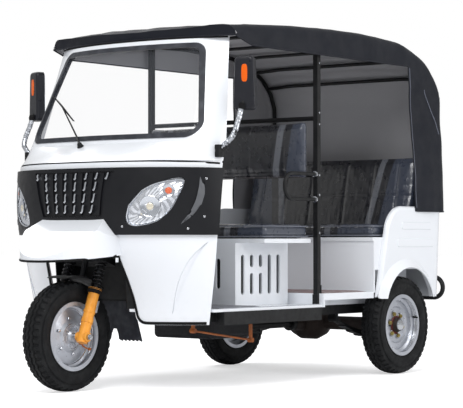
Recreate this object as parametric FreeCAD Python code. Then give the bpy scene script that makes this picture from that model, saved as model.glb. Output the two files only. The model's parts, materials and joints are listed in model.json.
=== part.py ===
import FreeCAD, Part
import math
import os

os.makedirs("parts", exist_ok=True)

# A passenger auto rickshaw: one steered front wheel, an open cab, a bench behind it.
# Lengths are millimetres. While a piece is modelled, x = 0 is the front axle,
# +X points forward, +Y to the vehicle's left and z = 0 is the ground.

# Clearances
seat_gap = 0.3
running_gap = 0.05

# Widths that the sides share
body_half_width = 638.0
rear_wheel_inset = 59.0
sill_inset = 28.0
pole_inset = 68.0
rail_hub_gap = 18.0

# Wheels and tyres
wheelbase = 2010.0
tyre_radius = 268.0
tyre_width = 115.0
tread_width = 104.0
shoulder_drop = 12.0
bead_radius = 152.4
bead_width = 92.0
rim_flange_radius = 168.0
rim_flange_width = 3.4
rim_well_radius = 136.0
rim_sheet = 4.0
disc_sheet = 5.0
front_axle_radius = 8.5
front_hub_half = 46.0
front_drum_half = 32.0
front_drum_radius = 72.0
front_disc_y = 16.0
rear_spindle_radius = 17.0
rear_disc_y = -4.0
hub_pilot_radius = 42.0
hub_reach = 92.0

# Front fork
rake_deg = 20.0
fork_offset = 50.0
fork_leg_spacing = 210.0
fork_lower_radius = 27.0
fork_lower_length = 245.0
fork_collar = 7.0
fork_lug = 6.0
fork_tube_radius = 15.0
spring_radius = 27.0
spring_wire = 8.0
spring_turns = 6
yoke_height = 640.0
yoke_thick = 28.0
yoke_overhang = 30.0
yoke_back = 32.0
guard_clearance = 22.0
guard_sheet = 5.0
stem_radius = 16.0
head_tube_wall = 7.0
head_tube_length = 150.0
handlebar_height = 1065.0
handlebar_half_width = 300.0
handlebar_radius = 11.0
handlebar_rise = 25.0
handlebar_sweep = 140.0
grip_radius = 17.0
grip_length = 125.0
head_brace_spacing = 150.0
head_brace_radius = 16.0

# Cab shell
cab_wall = 12.0
cab_bottom = 325.0
cab_groove_low = 1108.0
cab_groove_high = 1118.0
groove_depth = 5.0
cowl_top = 1215.0
wheel_opening_top = 748.0
wheel_opening_low_half = 280.0
wheel_opening_high_half = 228.0
wheel_opening_corner = 55.0
crescent_depth = 6.0
wheel_well_half = 232.0
well_rear = -350.0
well_sheet = 12.0
well_top = 702.0
mask_low = 760.0
mask_high = 1084.0
mask_thick = 14.0
lamp_inset = 6.0
grille_low = 848.0
grille_high = 1066.0
grille_low_half = 196.0
grille_high_half = 262.0
slat_half = 7.0
slat_pitch_low = 58.0
slat_pitch_high = 67.0
slats_each_side = 3

# Windscreen
glass_thick = 6.0
seal_width = 24.0
seal_proud = 5.0
screen_low = 1232.0
screen_header = 30.0
screen_low_half = 575.0
screen_high_half = 462.0
screen_corner = 70.0
wiper_y = -112.0

# Fender over the front wheel
fender_tip = 221.0
fender_tip_half = 141.0
fender_root_half = 262.0
fender_low = 630.0
fender_lip = 20.0
fender_root_low = 668.0
fender_top = 842.0
fender_wall = 10.0

# Mud flap behind the front wheel
flap_half_width = 180.0
flap_top_half = 118.0
flap_notch_half = 28.0
flap_low = 232.0
flap_teeth = 6
flap_thick = 4.0

# Chassis
sill_width = 50.0
sill_low = 321.0
front_floor_top = 400.0
front_floor_sheet = 14.0
toe_board_inset = 75.0
toe_board_gap = 0.8
rear_floor_top = 457.0
rear_floor_sheet = 12.0
rear_floor_lip = 35.0
rear_floor_step = 6.0
rail_width = 50.0
rail_height = 50.0
rail_front = -420.0
rail_rear = -2330.0
cross_member_width = 40.0
engine_arm_inset = 90.0
tow_eye_x = -2408.0
tow_eye_radius = 10.0
tow_eye_thick = 12.0

# Poles and roof frame
pole_x = -1285.0
pole_size = 28.0
pole_low = 358.0
roof_height = 1850.0
roof_tube_radius = 12.0
roof_bow_radius = 10.0
roof_frame_gap = 3.8
roof_bow_places = [-640.0, pole_x, -1750.0, -2050.0, -2240.0, -2360.0]
rear_post_half = 545.0
partition_top = 1371.0
partition_low = 1075.0
partition_radius = 12.0
loop_low = 947.0
loop_high = 1079.0
loop_reach = 267.0
loop_radius = 10.0

# Seats
driver_board_low = 720.0
driver_board_thick = 22.0
driver_front = -860.0
driver_rear = -1258.0
driver_cushion_thick = 76.0
seat_box_half_width = 400.0
seat_box_front = -812.0
seat_box_wall = 10.0
slot_width = 28.0
slot_low = 456.0
slot_high = 660.0
slot_front = -873.0
slot_pitch = 75.0
slot_count = 5
slot_bridge_low = 566.0
slot_bridge_high = 596.0
rear_seat_front = -1750.0
rear_seat_height = 750.0
rear_seat_depth = 480.0
rear_cushion_thick = 73.0
rear_back_top = 1216.0
rear_back_thick = 90.0
rear_back_lean = 130.0

# Canopy
canopy_sheet = 8.0
canopy_front = -430.0
canopy_front_corner = -572.0
canopy_rear = -2440.0
canopy_bulge = 12.0
canopy_edge_radius = 50.0
canopy_crown = 20.0
canopy_edge_inset = 26.0
canopy_hem_outset = 11.0
skirt_front = -592.0
skirt_depth = 150.0
curtain_low = 895.0
curtain_front_low = -2126.0
curtain_front_high = -2090.0

# Rear body
side_wall = 25.0
side_top = 922.0
side_low = 418.0
side_front_low = -1755.0
side_front_high = -1876.0
side_corner = 165.0
side_bevel = 20.0
rear_face_top = canopy_rear + canopy_sheet + 4.0
rear_face_low = -2394.0
rear_corner = 70.0
arch_height = 340.0
arch_setback = 22.0
arch_crease_radius = 292.0
arch_edge_radius = 246.0
arch_reach = 36.0
arch_sheet = 6.0
shelf_clearance = 38.0
rib_proud = 4.0
tail_lamp_places = [560.0, 645.0]
tail_lamp_height = 70.0
tail_lamp_inner = 430.0
tail_lamp_outer = 520.0
tail_lamp_depth = 28.0
plate_bracket_low = 690.0
plate_bracket_height = 60.0
plate_bracket_half = 110.0
plate_hole_half_spacing = 75.0
plate_hole_radius = 3.5

# Rear axle, springs and drive
axle_tube_radius = 38.0
drum_radius = 108.0
diff_radius = 96.0
spring_half_length = 380.0
spring_leaf_width = 50.0
spring_leaf_thick = 8.0
spring_leaf_count = 4
spring_plate_overhang = 14.0
spring_eye_height = 306.0
engine_front = -866.0
engine_rear = -1222.0
engine_width = 400.0
engine_low = 221.0
engine_high = 690.0
propshaft_radius = 24.0
brake_lever_x = -900.0
brake_lever_low = 226.0
pinion_reach = 175.0

# Exhaust
exhaust_y = -300.0
exhaust_height = 285.0
exhaust_port_x = -1150.0
silencer_front = -1400.0
silencer_rear = -1700.0
silencer_radius = 48.0
exhaust_radius = 18.0

# Bumper
bumper_radius = 13.0
bumper_low = 408.0
bumper_high = 524.0
bumper_x = -2437.0

# Mirrors
mirror_x = -505.0
mirror_outset = 64.0
mirror_z = 1497.0
mirror_height = 262.0
mirror_low_width = 114.0
mirror_high_width = 96.0
mirror_depth = 46.0
mirror_corner = 24.0
mirror_toe_deg = 22.0
mirror_arm_radius = 8.0

# Places that follow from the dimensions above
header_top = roof_height - 108.0
screen_high = header_top - screen_header
skirt_low = roof_height - skirt_depth
wheel_y = body_half_width - rear_wheel_inset
sill_half_width = body_half_width - sill_inset
pole_half_spacing = body_half_width - pole_inset
driver_half_width = pole_half_spacing - pole_size / 2 - 6.0
mirror_y = body_half_width + mirror_outset
bumper_half_width = body_half_width - 3.0
rail_half_spacing = (wheel_y - hub_reach - rail_hub_gap - spring_plate_overhang
                     - spring_leaf_width / 2)
door_edge_low_y = body_half_width - 16.0
door_edge_high_y = body_half_width - 2.0

# Cab outline: at each height, the skin's (x, y) on the centre line, at the
# shoulder, at the corner and at the door edge of the left side
STATIONS = {
    cab_bottom: [(-165, 0), (-190, 285), (-300, 500), (-380, 580)],
    600.0: [(-105, 0), (-128, 268), (-262, 530), (-373, door_edge_low_y)],
    800.0: [(-50, 0), (-68, 275), (-245, 557), (-378, door_edge_high_y)],
    1000.0: [(-38, 0), (-58, 281), (-240, 560), (-398, door_edge_high_y)],
    cab_groove_low: [(-45, 0), (-70, 285), (-255, 568), (-415, door_edge_high_y)],
    cowl_top: [(-235, 0), (-258, 300), (-350, 592), (-441, door_edge_high_y)],
    header_top: [(-432, 0), (-455, 260), (-530, 490), (-566, 556)],
}

# Roof line at the canopy's edge, from the front: place along it and drop below the top
ROOF_LINE = [
    (canopy_front, 88.0), (-500.0, 60.0), (-700.0, 38.0), (-1192.0, 9.0), (-1580.0, 0.0),
    (-2016.0, 18.0), (-2228.0, 78.0), (-2326.0, 134.0), (-2409.0, 217.0),
    (canopy_rear - canopy_bulge, 310.0),
]

# Pressed ribs of a rear side panel: rear end, front end, lower and upper edge
PRESSED_RIBS = [(-2286.0, -1988.0, 794.0, 833.0), (-2312.0, -1943.0, 697.0, 743.0)]


def vec(x, y, z):
    return FreeCAD.Vector(x, y, z)


def box(x0, x1, y0, y1, z0, z1):
    low = vec(min(x0, x1), min(y0, y1), min(z0, z1))
    return Part.makeBox(abs(x1 - x0), abs(y1 - y0), abs(z1 - z0), low)


def rod(start, end, radius):
    return Part.makeCylinder(radius, start.distanceToPoint(end), start, end - start)


def polygon_face(points):
    return Part.Face(Part.makePolygon(points + [points[0]]))


def prism_y(outline, y0, y1):
    face = polygon_face([vec(x, y0, z) for x, z in outline])
    return face.extrude(vec(0, y1 - y0, 0))


def prism_x(outline, x0, x1):
    face = polygon_face([vec(x0, y, z) for y, z in outline])
    return face.extrude(vec(x1 - x0, 0, 0))


def rounded_wire(corners, radii):
    """Closed outline through the corners, with an arc of its radius at each."""
    ends = []
    count = len(corners)
    for i, corner in enumerate(corners):
        into = (corner - corners[i - 1]).normalize()
        out = (corners[(i + 1) % count] - corner).normalize()
        half_turn = into.getAngle(out) / 2
        setback = radii[i] * math.tan(half_turn)
        inward = (out - into).normalize()
        middle = corner + inward * (radii[i] / math.cos(half_turn) - radii[i])
        ends.append((corner - into * setback, middle, corner + out * setback))
    edges = []
    for i, (start, middle, end) in enumerate(ends):
        edges.append(Part.LineSegment(ends[i - 1][2], start).toShape())
        if radii[i] > 0:
            edges.append(Part.Arc(start, middle, end).toShape())
    return Part.Wire(edges)


def crescent_x(start, end, inner, outer, x0, x1):
    """Prism along X over the sickle between two arcs that share their ends, in y and z."""
    start, end, inner, outer = [vec(x0, y, z) for y, z in (start, end, inner, outer)]
    wire = Part.Wire([Part.Arc(start, inner, end).toShape(), Part.Arc(end, outer, start).toShape()])
    return Part.Face(wire).extrude(vec(x1 - x0, 0, 0))


def ring_about_y(outline, centre):
    face = polygon_face([vec(centre.x + r, centre.y + y, centre.z) for r, y in outline])
    return face.revolve(centre, vec(0, 1, 0), 360)


def mirrored(shape):
    return shape.mirror(vec(0, 0, 0), vec(0, 1, 0))


def mirrored_point(point):
    return vec(point.x, -point.y, point.z)


def both_sides(shape):
    return Part.makeCompound([shape, mirrored(shape)])


def fused(shapes):
    return shapes[0].multiFuse(shapes[1:]).removeSplitter()


def bent_tube(points, radius, bend):
    """Round tube through the points, with an arc of the bend radius at each corner."""
    edges = []
    start = points[0]
    for before, corner, after in zip(points, points[1:], points[2:]):
        into = (corner - before).normalize()
        out = (after - corner).normalize()
        half_turn = into.getAngle(out) / 2
        setback = bend * math.tan(half_turn)
        arc_start = corner - into * setback
        arc_end = corner + out * setback
        inward = (out - into).normalize()
        sag = bend / math.cos(half_turn) - bend
        edges.append(Part.LineSegment(start, arc_start).toShape())
        edges.append(Part.Arc(arc_start, corner + inward * sag, arc_end).toShape())
        start = arc_end
    edges.append(Part.LineSegment(start, points[-1]).toShape())
    section = Part.Face(Part.Wire(Part.makeCircle(radius, points[0], points[1] - points[0])))
    return Part.Wire(edges).makePipe(section)


def smooth_edge(points):
    curve = Part.BSplineCurve()
    curve.interpolate(points)
    return curve.toShape()


def cab_stations(z):
    """Outline points of the cab at a height, from the right door edge to the left one."""
    heights = sorted(STATIONS)
    z = min(max(z, heights[0]), heights[-1])
    above = next(i for i, h in enumerate(heights) if h >= z)
    if above == 0:
        half = STATIONS[heights[0]]
    else:
        low, high = heights[above - 1], heights[above]
        share = (z - low) / (high - low)
        pairs = zip(STATIONS[low], STATIONS[high])
        half = [(a[0] + (b[0] - a[0]) * share, a[1] + (b[1] - a[1]) * share) for a, b in pairs]
    right = [(x, -y) for x, y in reversed(half[1:])]
    return right + half


def cab_curve(z, offset):
    """The cab outline at a height, moved outward by an offset."""
    curve = Part.BSplineCurve()
    curve.interpolate([vec(x, y, z) for x, y in cab_stations(z)])
    count = 9
    first, last = curve.FirstParameter, curve.LastParameter
    moved = []
    for i in range(count):
        at = first + (last - first) * i / (count - 1)
        tangent = curve.tangent(at)[0]
        outward = vec(tangent.y, -tangent.x, 0).normalize()
        if outward.x < 0 and abs(outward.x) > abs(outward.y):
            outward = outward * -1
        moved.append(curve.value(at) + outward * offset)
    return moved


def cab_section(z, inner, outer):
    outer_points = cab_curve(z, outer)
    inner_points = cab_curve(z, inner)
    edges = [
        smooth_edge(outer_points),
        Part.LineSegment(outer_points[-1], inner_points[-1]).toShape(),
        smooth_edge(inner_points[::-1]),
        Part.LineSegment(inner_points[0], outer_points[0]).toShape(),
    ]
    return Part.Wire(edges)


def cab_skin(low, high, inner, outer):
    """A curved wall that follows the cab outline between two heights."""
    cowl = low < cab_groove_low
    levels = cowl_levels if cowl else upper_levels
    wall = Part.makeLoft([cab_section(z, inner, outer) for z in levels], True, not cowl)
    return wall.common(box(-1000, 300, -900, 900, low, high))


def cab_inside(offset):
    """The room inside the cowl, filled, up to the groove line."""
    wires = []
    for z in cowl_levels:
        points = cab_curve(z, offset)
        closing = Part.LineSegment(points[-1], points[0]).toShape()
        wires.append(Part.Wire([smooth_edge(points), closing]))
    return Part.makeLoft(wires, True, False)


def nose_x(z):
    return cab_stations(z)[3][0]


def door_edge(z):
    return cab_stations(z)[-1]


cowl_levels = [cab_bottom, 600.0, 800.0, 1000.0, cab_groove_low]
upper_levels = [cab_groove_low, cowl_top, header_top]
rear_axle_x = -wheelbase
leg_y = fork_leg_spacing / 2
rake = math.radians(rake_deg)
fork_up = vec(-math.sin(rake), 0, math.cos(rake))
front_centre = vec(0, 0, tyre_radius)
steer_point = front_centre - vec(fork_offset / math.cos(rake), 0, 0)


def steer_axis_at(z):
    return steer_point + fork_up * ((z - tyre_radius) / math.cos(rake))


def leg_at(z, y):
    return front_centre + vec(0, y, 0) + fork_up * ((z - tyre_radius) / math.cos(rake))


def leg_under_yoke(y):
    """Where a leg's centre line leaves the yoke's lower face."""
    forward = vec(math.cos(rake), 0, math.sin(rake))
    return steer_axis_at(yoke_height) + forward * fork_offset - fork_up * yoke_thick + vec(0, y, 0)


def tyre(centre):
    half = tyre_width / 2
    tread = tread_width / 2
    bead = bead_width / 2
    seat = bead_radius + seat_gap
    foot = rim_flange_radius + 3
    widest = (tyre_radius + rim_flange_radius) / 2
    bulge = half - (half - bead) / 4
    side = [(tyre_radius, tread * 0.45), (tyre_radius - shoulder_drop / 2, tread * 0.9),
            (tyre_radius - shoulder_drop, tread), ((tyre_radius + widest) / 2, bulge), (widest, half),
            ((foot + widest) / 2, bulge), (foot, bead), (seat, bead)]
    other_side = [(radius, -y) for radius, y in reversed(side)]
    return ring_about_y(side + other_side, centre)


def rim_barrel(centre):
    bead = bead_width / 2 + seat_gap
    edge = bead + rim_flange_width
    well = rim_well_radius
    inner = bead_radius - rim_sheet
    outline = [
        (rim_flange_radius, edge), (rim_flange_radius, bead), (bead_radius, bead),
        (bead_radius, bead * 0.5), (well, bead * 0.32), (well, -bead * 0.32),
        (bead_radius, -bead * 0.5), (bead_radius, -bead), (rim_flange_radius, -bead),
        (rim_flange_radius, -edge), (inner, -edge), (inner, -bead * 0.42),
        (well - rim_sheet, -bead * 0.26), (well - rim_sheet, bead * 0.26),
        (inner, bead * 0.42), (inner, edge),
    ]
    return ring_about_y(outline, centre)


def front_rim():
    bore = front_axle_radius + running_gap
    well = rim_well_radius - rim_sheet / 2
    drum, disc, half = front_drum_radius, front_disc_y, front_drum_half
    outline = [
        (bore, -front_hub_half), (26, -front_hub_half), (30, -half), (drum, -half),
        (drum, disc), (well, disc - 12), (well, disc - 12 + disc_sheet),
        (drum + 6, disc + disc_sheet), (drum - 8, half), (34, half),
        (26, front_hub_half), (bore, front_hub_half),
    ]
    return fused([rim_barrel(front_centre), ring_about_y(outline, front_centre)])


def rear_rim(side):
    centre = vec(rear_axle_x, 0, tyre_radius)
    well = rim_well_radius - rim_sheet / 2
    disc = rear_disc_y
    outline = [
        (hub_pilot_radius, disc), (96, disc), (104, disc + 9), (well, disc + 9),
        (well, disc + 9 + disc_sheet), (102, disc + 9 + disc_sheet), (94, disc + disc_sheet),
        (hub_pilot_radius, disc + disc_sheet),
    ]
    wheel = fused([rim_barrel(centre), ring_about_y(outline, centre)])
    wheel.translate(vec(0, wheel_y, 0))
    return wheel if side > 0 else mirrored(wheel)


def rear_hub(side):
    centre = vec(rear_axle_x, wheel_y, tyre_radius)
    bore = rear_spindle_radius + running_gap
    nose = hub_pilot_radius - seat_gap
    disc_back = rear_disc_y - seat_gap
    outline = [
        (bore, -hub_reach), (44, -hub_reach), (44, -50), (drum_radius, -50), (drum_radius, disc_back),
        (nose, disc_back), (nose, 12), (34, 30), (0, 30), (0, 24), (bore, 24),
    ]
    hub = ring_about_y(outline, centre)
    return hub if side > 0 else mirrored(hub)


def rear_tyre(side):
    shape = tyre(vec(rear_axle_x, wheel_y, tyre_radius))
    return shape if side > 0 else mirrored(shape)


def fork_yoke():
    top = steer_axis_at(yoke_height)
    half = leg_y + yoke_overhang
    corners = [vec(-yoke_back, -half, 0), vec(fork_offset, -half, 0),
               vec(fork_offset, half, 0), vec(-yoke_back, half, 0)]
    plate = Part.Face(rounded_wire(corners, [25, 12, 12, 25]))
    plate = plate.extrude(vec(0, 0, -yoke_thick))
    plate.rotate(vec(0, 0, 0), vec(0, 1, 0), -rake_deg)
    plate.translate(top)
    stem_top = steer_axis_at(handlebar_height)
    stem = rod(top - fork_up * (yoke_thick / 2), stem_top, stem_radius)
    legs = []
    for y in (-leg_y, leg_y):
        low = leg_at(tyre_radius, y) + fork_up * (fork_lower_length - 40)
        high = leg_at(yoke_height, y)
        legs.append(rod(low, high, fork_tube_radius))
    inner = tyre_radius + guard_clearance
    outer = inner + guard_sheet
    guard_half = tyre_width / 2 + 12
    guard = ring_about_y([(inner, -guard_half), (outer, -guard_half), (outer, guard_half),
                          (inner, guard_half)], front_centre)
    keep = prism_y([(-330, 900), (-160, 430), (0, tyre_radius), (150, 900)], -200, 200)
    guard = guard.common(keep)
    bracket = rod(leg_under_yoke(0) + fork_up * 6, front_centre + fork_up * (inner + 2), 14)
    return fused([plate, stem, guard, bracket] + legs)


def fork_lowers():
    legs = []
    for y in (-leg_y, leg_y):
        base = leg_at(tyre_radius, y)
        foot = base - fork_up * 30
        top = base + fork_up * fork_lower_length
        leg = rod(foot, top, fork_lower_radius)
        collar = rod(top - fork_up * 22, top, fork_lower_radius + fork_collar)
        lug_half = vec(0, fork_lower_radius + fork_lug, 0)
        lug = rod(base - lug_half, base + lug_half, 24)
        leg = fused([leg, collar, lug])
        sleeve = rod(top - fork_up * 60, top + fork_up * 1, fork_tube_radius + seat_gap)
        axle_bore = rod(base - vec(0, 60, 0), base + vec(0, 60, 0), front_axle_radius + seat_gap)
        legs.append(leg.cut(sleeve).cut(axle_bore))
    return Part.makeCompound(legs)


def fork_springs():
    springs = []
    for y in (-leg_y, leg_y):
        start = leg_at(tyre_radius, y) + fork_up * (fork_lower_length + seat_gap)
        end = leg_under_yoke(y) - fork_up * seat_gap
        pitch = start.distanceToPoint(end) / spring_turns
        inner = fork_tube_radius + seat_gap
        outline = [vec(inner, 0, 0), vec(spring_radius - spring_wire / 2, 0, 0)]
        for turn in range(spring_turns):
            outline.append(vec(spring_radius, 0, pitch * (turn + 0.5)))
            outline.append(vec(spring_radius - spring_wire / 2, 0, pitch * (turn + 1)))
        outline.append(vec(inner, 0, pitch * spring_turns))
        spring = polygon_face(outline).revolve(vec(0, 0, 0), vec(0, 0, 1), 360)
        spring.rotate(vec(0, 0, 0), vec(0, 1, 0), -rake_deg)
        spring.translate(start)
        springs.append(spring)
    return Part.makeCompound(springs)


def front_axle():
    lug_outer = leg_y + fork_lower_radius + fork_lug + seat_gap
    half = lug_outer + 12
    shaft = rod(vec(0, -half, tyre_radius), vec(0, half, tyre_radius), front_axle_radius)
    collars = []
    for side in (-1, 1):
        inner = front_hub_half + 1.0
        outer = leg_y - fork_lower_radius - fork_lug - seat_gap
        collars.append(rod(vec(0, side * inner, tyre_radius), vec(0, side * outer, tyre_radius), 16))
        collars.append(rod(vec(0, side * lug_outer, tyre_radius), vec(0, side * half, tyre_radius), 14))
    return fused([shaft] + collars)


def handlebar():
    centre = steer_axis_at(handlebar_height)
    middle = centre + vec(-20, 0, handlebar_rise)
    end = centre + vec(-handlebar_sweep, handlebar_half_width, handlebar_rise + 30)
    bend = middle + vec(0, 120, 0)
    points = [mirrored_point(end), mirrored_point(bend), bend, end]
    bar = bent_tube(points, handlebar_radius, 60)
    clamp = rod(middle - vec(0, 35, 0), middle + vec(0, 35, 0), 20)
    riser = rod(centre - fork_up * 10, middle, 18)
    collar = rod(centre - fork_up * 40, centre + fork_up * 6, 24)
    stem_bore = rod(centre - fork_up * 60, centre + fork_up * seat_gap, stem_radius + seat_gap)
    grip = rod(end + (bend - end).normalize() * grip_length, end, grip_radius)
    return fused([bar, clamp, riser, collar, grip, mirrored(grip)]).cut(stem_bore)


def head_tube_ends():
    low = steer_axis_at(yoke_height) + fork_up * 4
    return low, low + fork_up * head_tube_length


def head_braces(grow):
    """The two tubes that carry the steering head from the front cross member."""
    low, high = head_tube_ends()
    foot_x = rail_front - cross_member_width / 2
    braces = []
    for y in (-head_brace_spacing, head_brace_spacing):
        foot = vec(foot_x, y, front_floor_top - front_floor_sheet - 15)
        knee = vec(foot_x + 10, y * 0.8, 560)
        braces.append(bent_tube([foot, knee, high - fork_up * 30], head_brace_radius + grow, 60))
    return fused(braces)


def chassis_frame():
    rail_top = front_floor_top - front_floor_sheet - seat_gap
    rail_low = rail_top - rail_height
    members = []
    for side in (-1, 1):
        y0 = side * (rail_half_spacing - rail_width / 2)
        y1 = side * (rail_half_spacing + rail_width / 2)
        members.append(box(rail_front, rail_rear, y0, y1, rail_low, rail_top))
        inner = side * (sill_half_width - sill_width)
        members.append(box(rail_front - cross_member_width, pole_x + pole_size / 2 + seat_gap, inner,
                           side * sill_half_width, sill_low, rail_top))
    half = rail_half_spacing + rail_width / 2
    outer = pole_half_spacing - pole_size / 2 - seat_gap
    for x in (rail_front - cross_member_width, pole_x - cross_member_width / 2):
        members.append(box(x, x + cross_member_width, -outer, outer, rail_low, rail_top))
    for x in (rear_seat_front, rail_rear):
        members.append(box(x, x + cross_member_width, -half, half, rail_low, rail_top))
    low, high = head_tube_ends()
    bore = stem_radius + running_gap
    head = rod(low, high, bore + head_tube_wall)
    arm_inner = engine_width / 2 + seat_gap
    for side in (-1, 1):
        for x in (engine_front - engine_arm_inset, engine_rear + engine_arm_inset):
            members.append(box(x - cross_member_width / 2, x + cross_member_width / 2,
                               side * arm_inner, side * rail_half_spacing, rail_low, rail_top))
    eye_low = rail_low + rail_height / 2
    tongue = tow_eye_radius + 14
    members.append(box(rail_rear, tow_eye_x - tongue, -tongue, tongue, eye_low, eye_low + tow_eye_thick))
    frame = fused(members + [head, head_braces(0)])
    eye = rod(vec(tow_eye_x, 0, eye_low - 5), vec(tow_eye_x, 0, eye_low + tow_eye_thick + 5),
              tow_eye_radius)
    return frame.cut(rod(low - fork_up * 5, high + fork_up * 5, bore)).cut(eye)


def floor_pan():
    front_x = STATIONS[cab_bottom][-1][0] - cab_wall
    low = front_floor_top - front_floor_sheet
    half = sill_half_width - 4
    edge = half - toe_board_inset
    front = box(front_x, pole_x, -half, half, low, front_floor_top)
    middle = box(front_x + 22, front_x - 10, -edge, edge, low, front_floor_top)
    engine_hole = box(driver_rear + 12, seat_box_front - 20, -engine_width / 2 - 30,
                      engine_width / 2 + 30, low - 5, front_floor_top + 5)
    toe_boards = box(front_x + 15, -100, -half, half, low, front_floor_top)
    toe_boards = toe_boards.common(cab_inside(-cab_wall - toe_board_gap))
    well = box(well_rear - well_sheet - seat_gap, 0, -wheel_well_half - seat_gap, wheel_well_half + seat_gap,
               low - 5, front_floor_top + 5)
    front = fused([front, middle, toe_boards]).cut(engine_hole).cut(well).cut(head_braces(seat_gap))
    rear_half = body_half_width - side_wall - seat_gap
    rear_low = rear_floor_top - rear_floor_sheet
    deck = box(pole_x, rear_seat_front, -rear_half, rear_half, rear_low, rear_floor_top)
    inner_half = wheel_y - tyre_width / 2 - 12
    tail_x = rear_face_low + side_wall + 2 * seat_gap
    tail = box(rear_seat_front + 5, tail_x, -inner_half, inner_half, rear_low,
               rear_floor_top - rear_floor_step)
    ribs = [box(pole_x, tail_x, side * (rail_half_spacing - rail_width / 2),
                side * (rail_half_spacing + rail_width / 2), low, rear_low) for side in (-1, 1)]
    lips = [box(pole_x, rear_seat_front, side * rear_half, side * (rear_half - 12),
                rear_floor_top - rear_floor_lip, rear_low) for side in (-1, 1)]
    riser = box(pole_x, pole_x - 12, -rear_half, rear_half, low, rear_low)
    return fused([front, deck, tail, riser] + ribs + lips).cut(pole_holes())


def pole_holes():
    grown = pole_size / 2 + seat_gap
    holes = [box(pole_x - grown, pole_x + grown, side * (pole_half_spacing - grown),
                 side * (pole_half_spacing + grown), 0, 2000) for side in (-1, 1)]
    return Part.makeCompound(holes)


def wheel_opening():
    """Prism over the opening for the front wheel, whose lower corners are rounded outward."""
    high, low, wide = wheel_opening_high_half, wheel_opening_low_half, wheel_opening_low_half + 120
    bottom = cab_bottom - 1
    outline = [(-wide, bottom - 50), (wide, bottom - 50), (wide, bottom), (low, bottom),
               (high, wheel_opening_top), (-high, wheel_opening_top), (-low, bottom), (-wide, bottom)]
    corner = wheel_opening_corner
    wire = rounded_wire([vec(-330, y, z) for y, z in outline], [0, 0, 0, corner, 40, 40, corner, 0])
    return Part.Face(wire).extrude(vec(390, 0, 0))


def cab_front():
    """Cowl below the groove line, with a sickle-shaped recess at each corner."""
    shell = cab_skin(cab_bottom, cab_groove_low, -cab_wall, 0)
    recess = crescent_x((612, 728), (447, 374), (522, 598), (544, 590), -420, 60)
    recess = recess.common(cab_skin(cab_bottom, 800.0, -crescent_depth, 20))
    return shell.cut(wheel_opening()).cut(both_sides(recess))


def screen_prism(grow):
    """Prism over the rounded outline of the windscreen, grown by a margin."""
    low_half, high_half = screen_low_half + grow, screen_high_half + grow
    low, high = screen_low - grow, screen_high + grow
    corners = [vec(0, -low_half, low), vec(0, low_half, low), vec(0, high_half, high),
               vec(0, -high_half, high)]
    face = Part.Face(rounded_wire(corners, [screen_corner + grow] * len(corners)))
    face.translate(vec(-900, 0, 0))
    return face.extrude(vec(1000, 0, 0))


def screen_skin(inner, outer):
    return cab_skin(cowl_top, header_top, inner, outer)


def windscreen_surround():
    apron = cab_skin(cab_groove_high, cowl_top, -cab_wall, 0)
    flange = cab_skin(cab_groove_low + seat_gap, cab_groove_high, -cab_wall, -groove_depth)
    frame = screen_skin(-cab_wall * 2, 0)
    return fused([apron, flange, frame]).cut(screen_prism(0))


def windscreen_seal():
    ring = screen_skin(-cab_wall * 2, seal_proud).common(screen_prism(-seat_gap))
    return ring.cut(screen_prism(-seal_width))


def windscreen():
    return screen_skin(-cab_wall - glass_thick, -cab_wall).common(screen_prism(-seal_width - seat_gap))


def lamp_outline(grow):
    """Almond outline of the left headlamp from the front, in y and z."""
    inner, outer = 318 - grow, 556 + grow
    points = [(inner, 826 - grow), (348, 920 + grow), (400, 975 + grow), (470, 1014 + grow),
              (outer, 1028 + grow), (545, 958 - grow), (505, 868 - grow), (455, 822 - grow),
              (390, 803 - grow)]
    return [vec(0, y, z) for y, z in points]


def lamp_prism(grow):
    curve = Part.BSplineCurve()
    curve.interpolate(lamp_outline(grow), PeriodicFlag=True)
    face = Part.Face(Part.Wire([curve.toShape()]))
    face.translate(vec(-420, 0, 0))
    return face.extrude(vec(520, 0, 0))


def grille_prism(grow):
    low, high = grille_low - grow, grille_high + grow
    low_half, high_half = grille_low_half + grow, grille_high_half + grow
    return prism_x([(-low_half, low), (low_half, low), (high_half, high), (-high_half, high)], -200, 60)


def front_mask():
    shell = cab_skin(mask_low, mask_high, seat_gap, mask_thick)
    recess = crescent_x((613, 1022), (552, 822), (596, 932), (611, 926), -420, 60)
    recess = recess.common(cab_skin(800.0, 1060.0, mask_thick - crescent_depth, mask_thick + 6))
    cutters = [both_sides(lamp_prism(0)), both_sides(recess), grille_prism(0), fender_cut()]
    for cutter in cutters:
        shell = shell.cut(cutter)
    return shell


def headlamp(side):
    lamp = cab_skin(780.0, 1050.0, seat_gap, mask_thick - lamp_inset).common(lamp_prism(-seat_gap))
    return lamp if side > 0 else mirrored(lamp)


def grille():
    """Backing plate with upright slats that fan out to the top."""
    back = cab_skin(800.0, mask_high, seat_gap, 5).common(grille_prism(-seat_gap))
    back = back.cut(fender_cut())
    slat_skin = cab_skin(800.0, mask_high, 4, mask_thick)
    low, high = grille_low + 8, grille_high - 8
    slats = []
    for i in range(-slats_each_side, slats_each_side + 1):
        y_low, y_high = i * slat_pitch_low, i * slat_pitch_high
        slat = prism_x([(y_low - slat_half, low), (y_low + slat_half, low),
                        (y_high + slat_half, high), (y_high - slat_half, high)], -200, 60)
        slats.append(slat.common(slat_skin))
    return fused([back] + slats)


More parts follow.
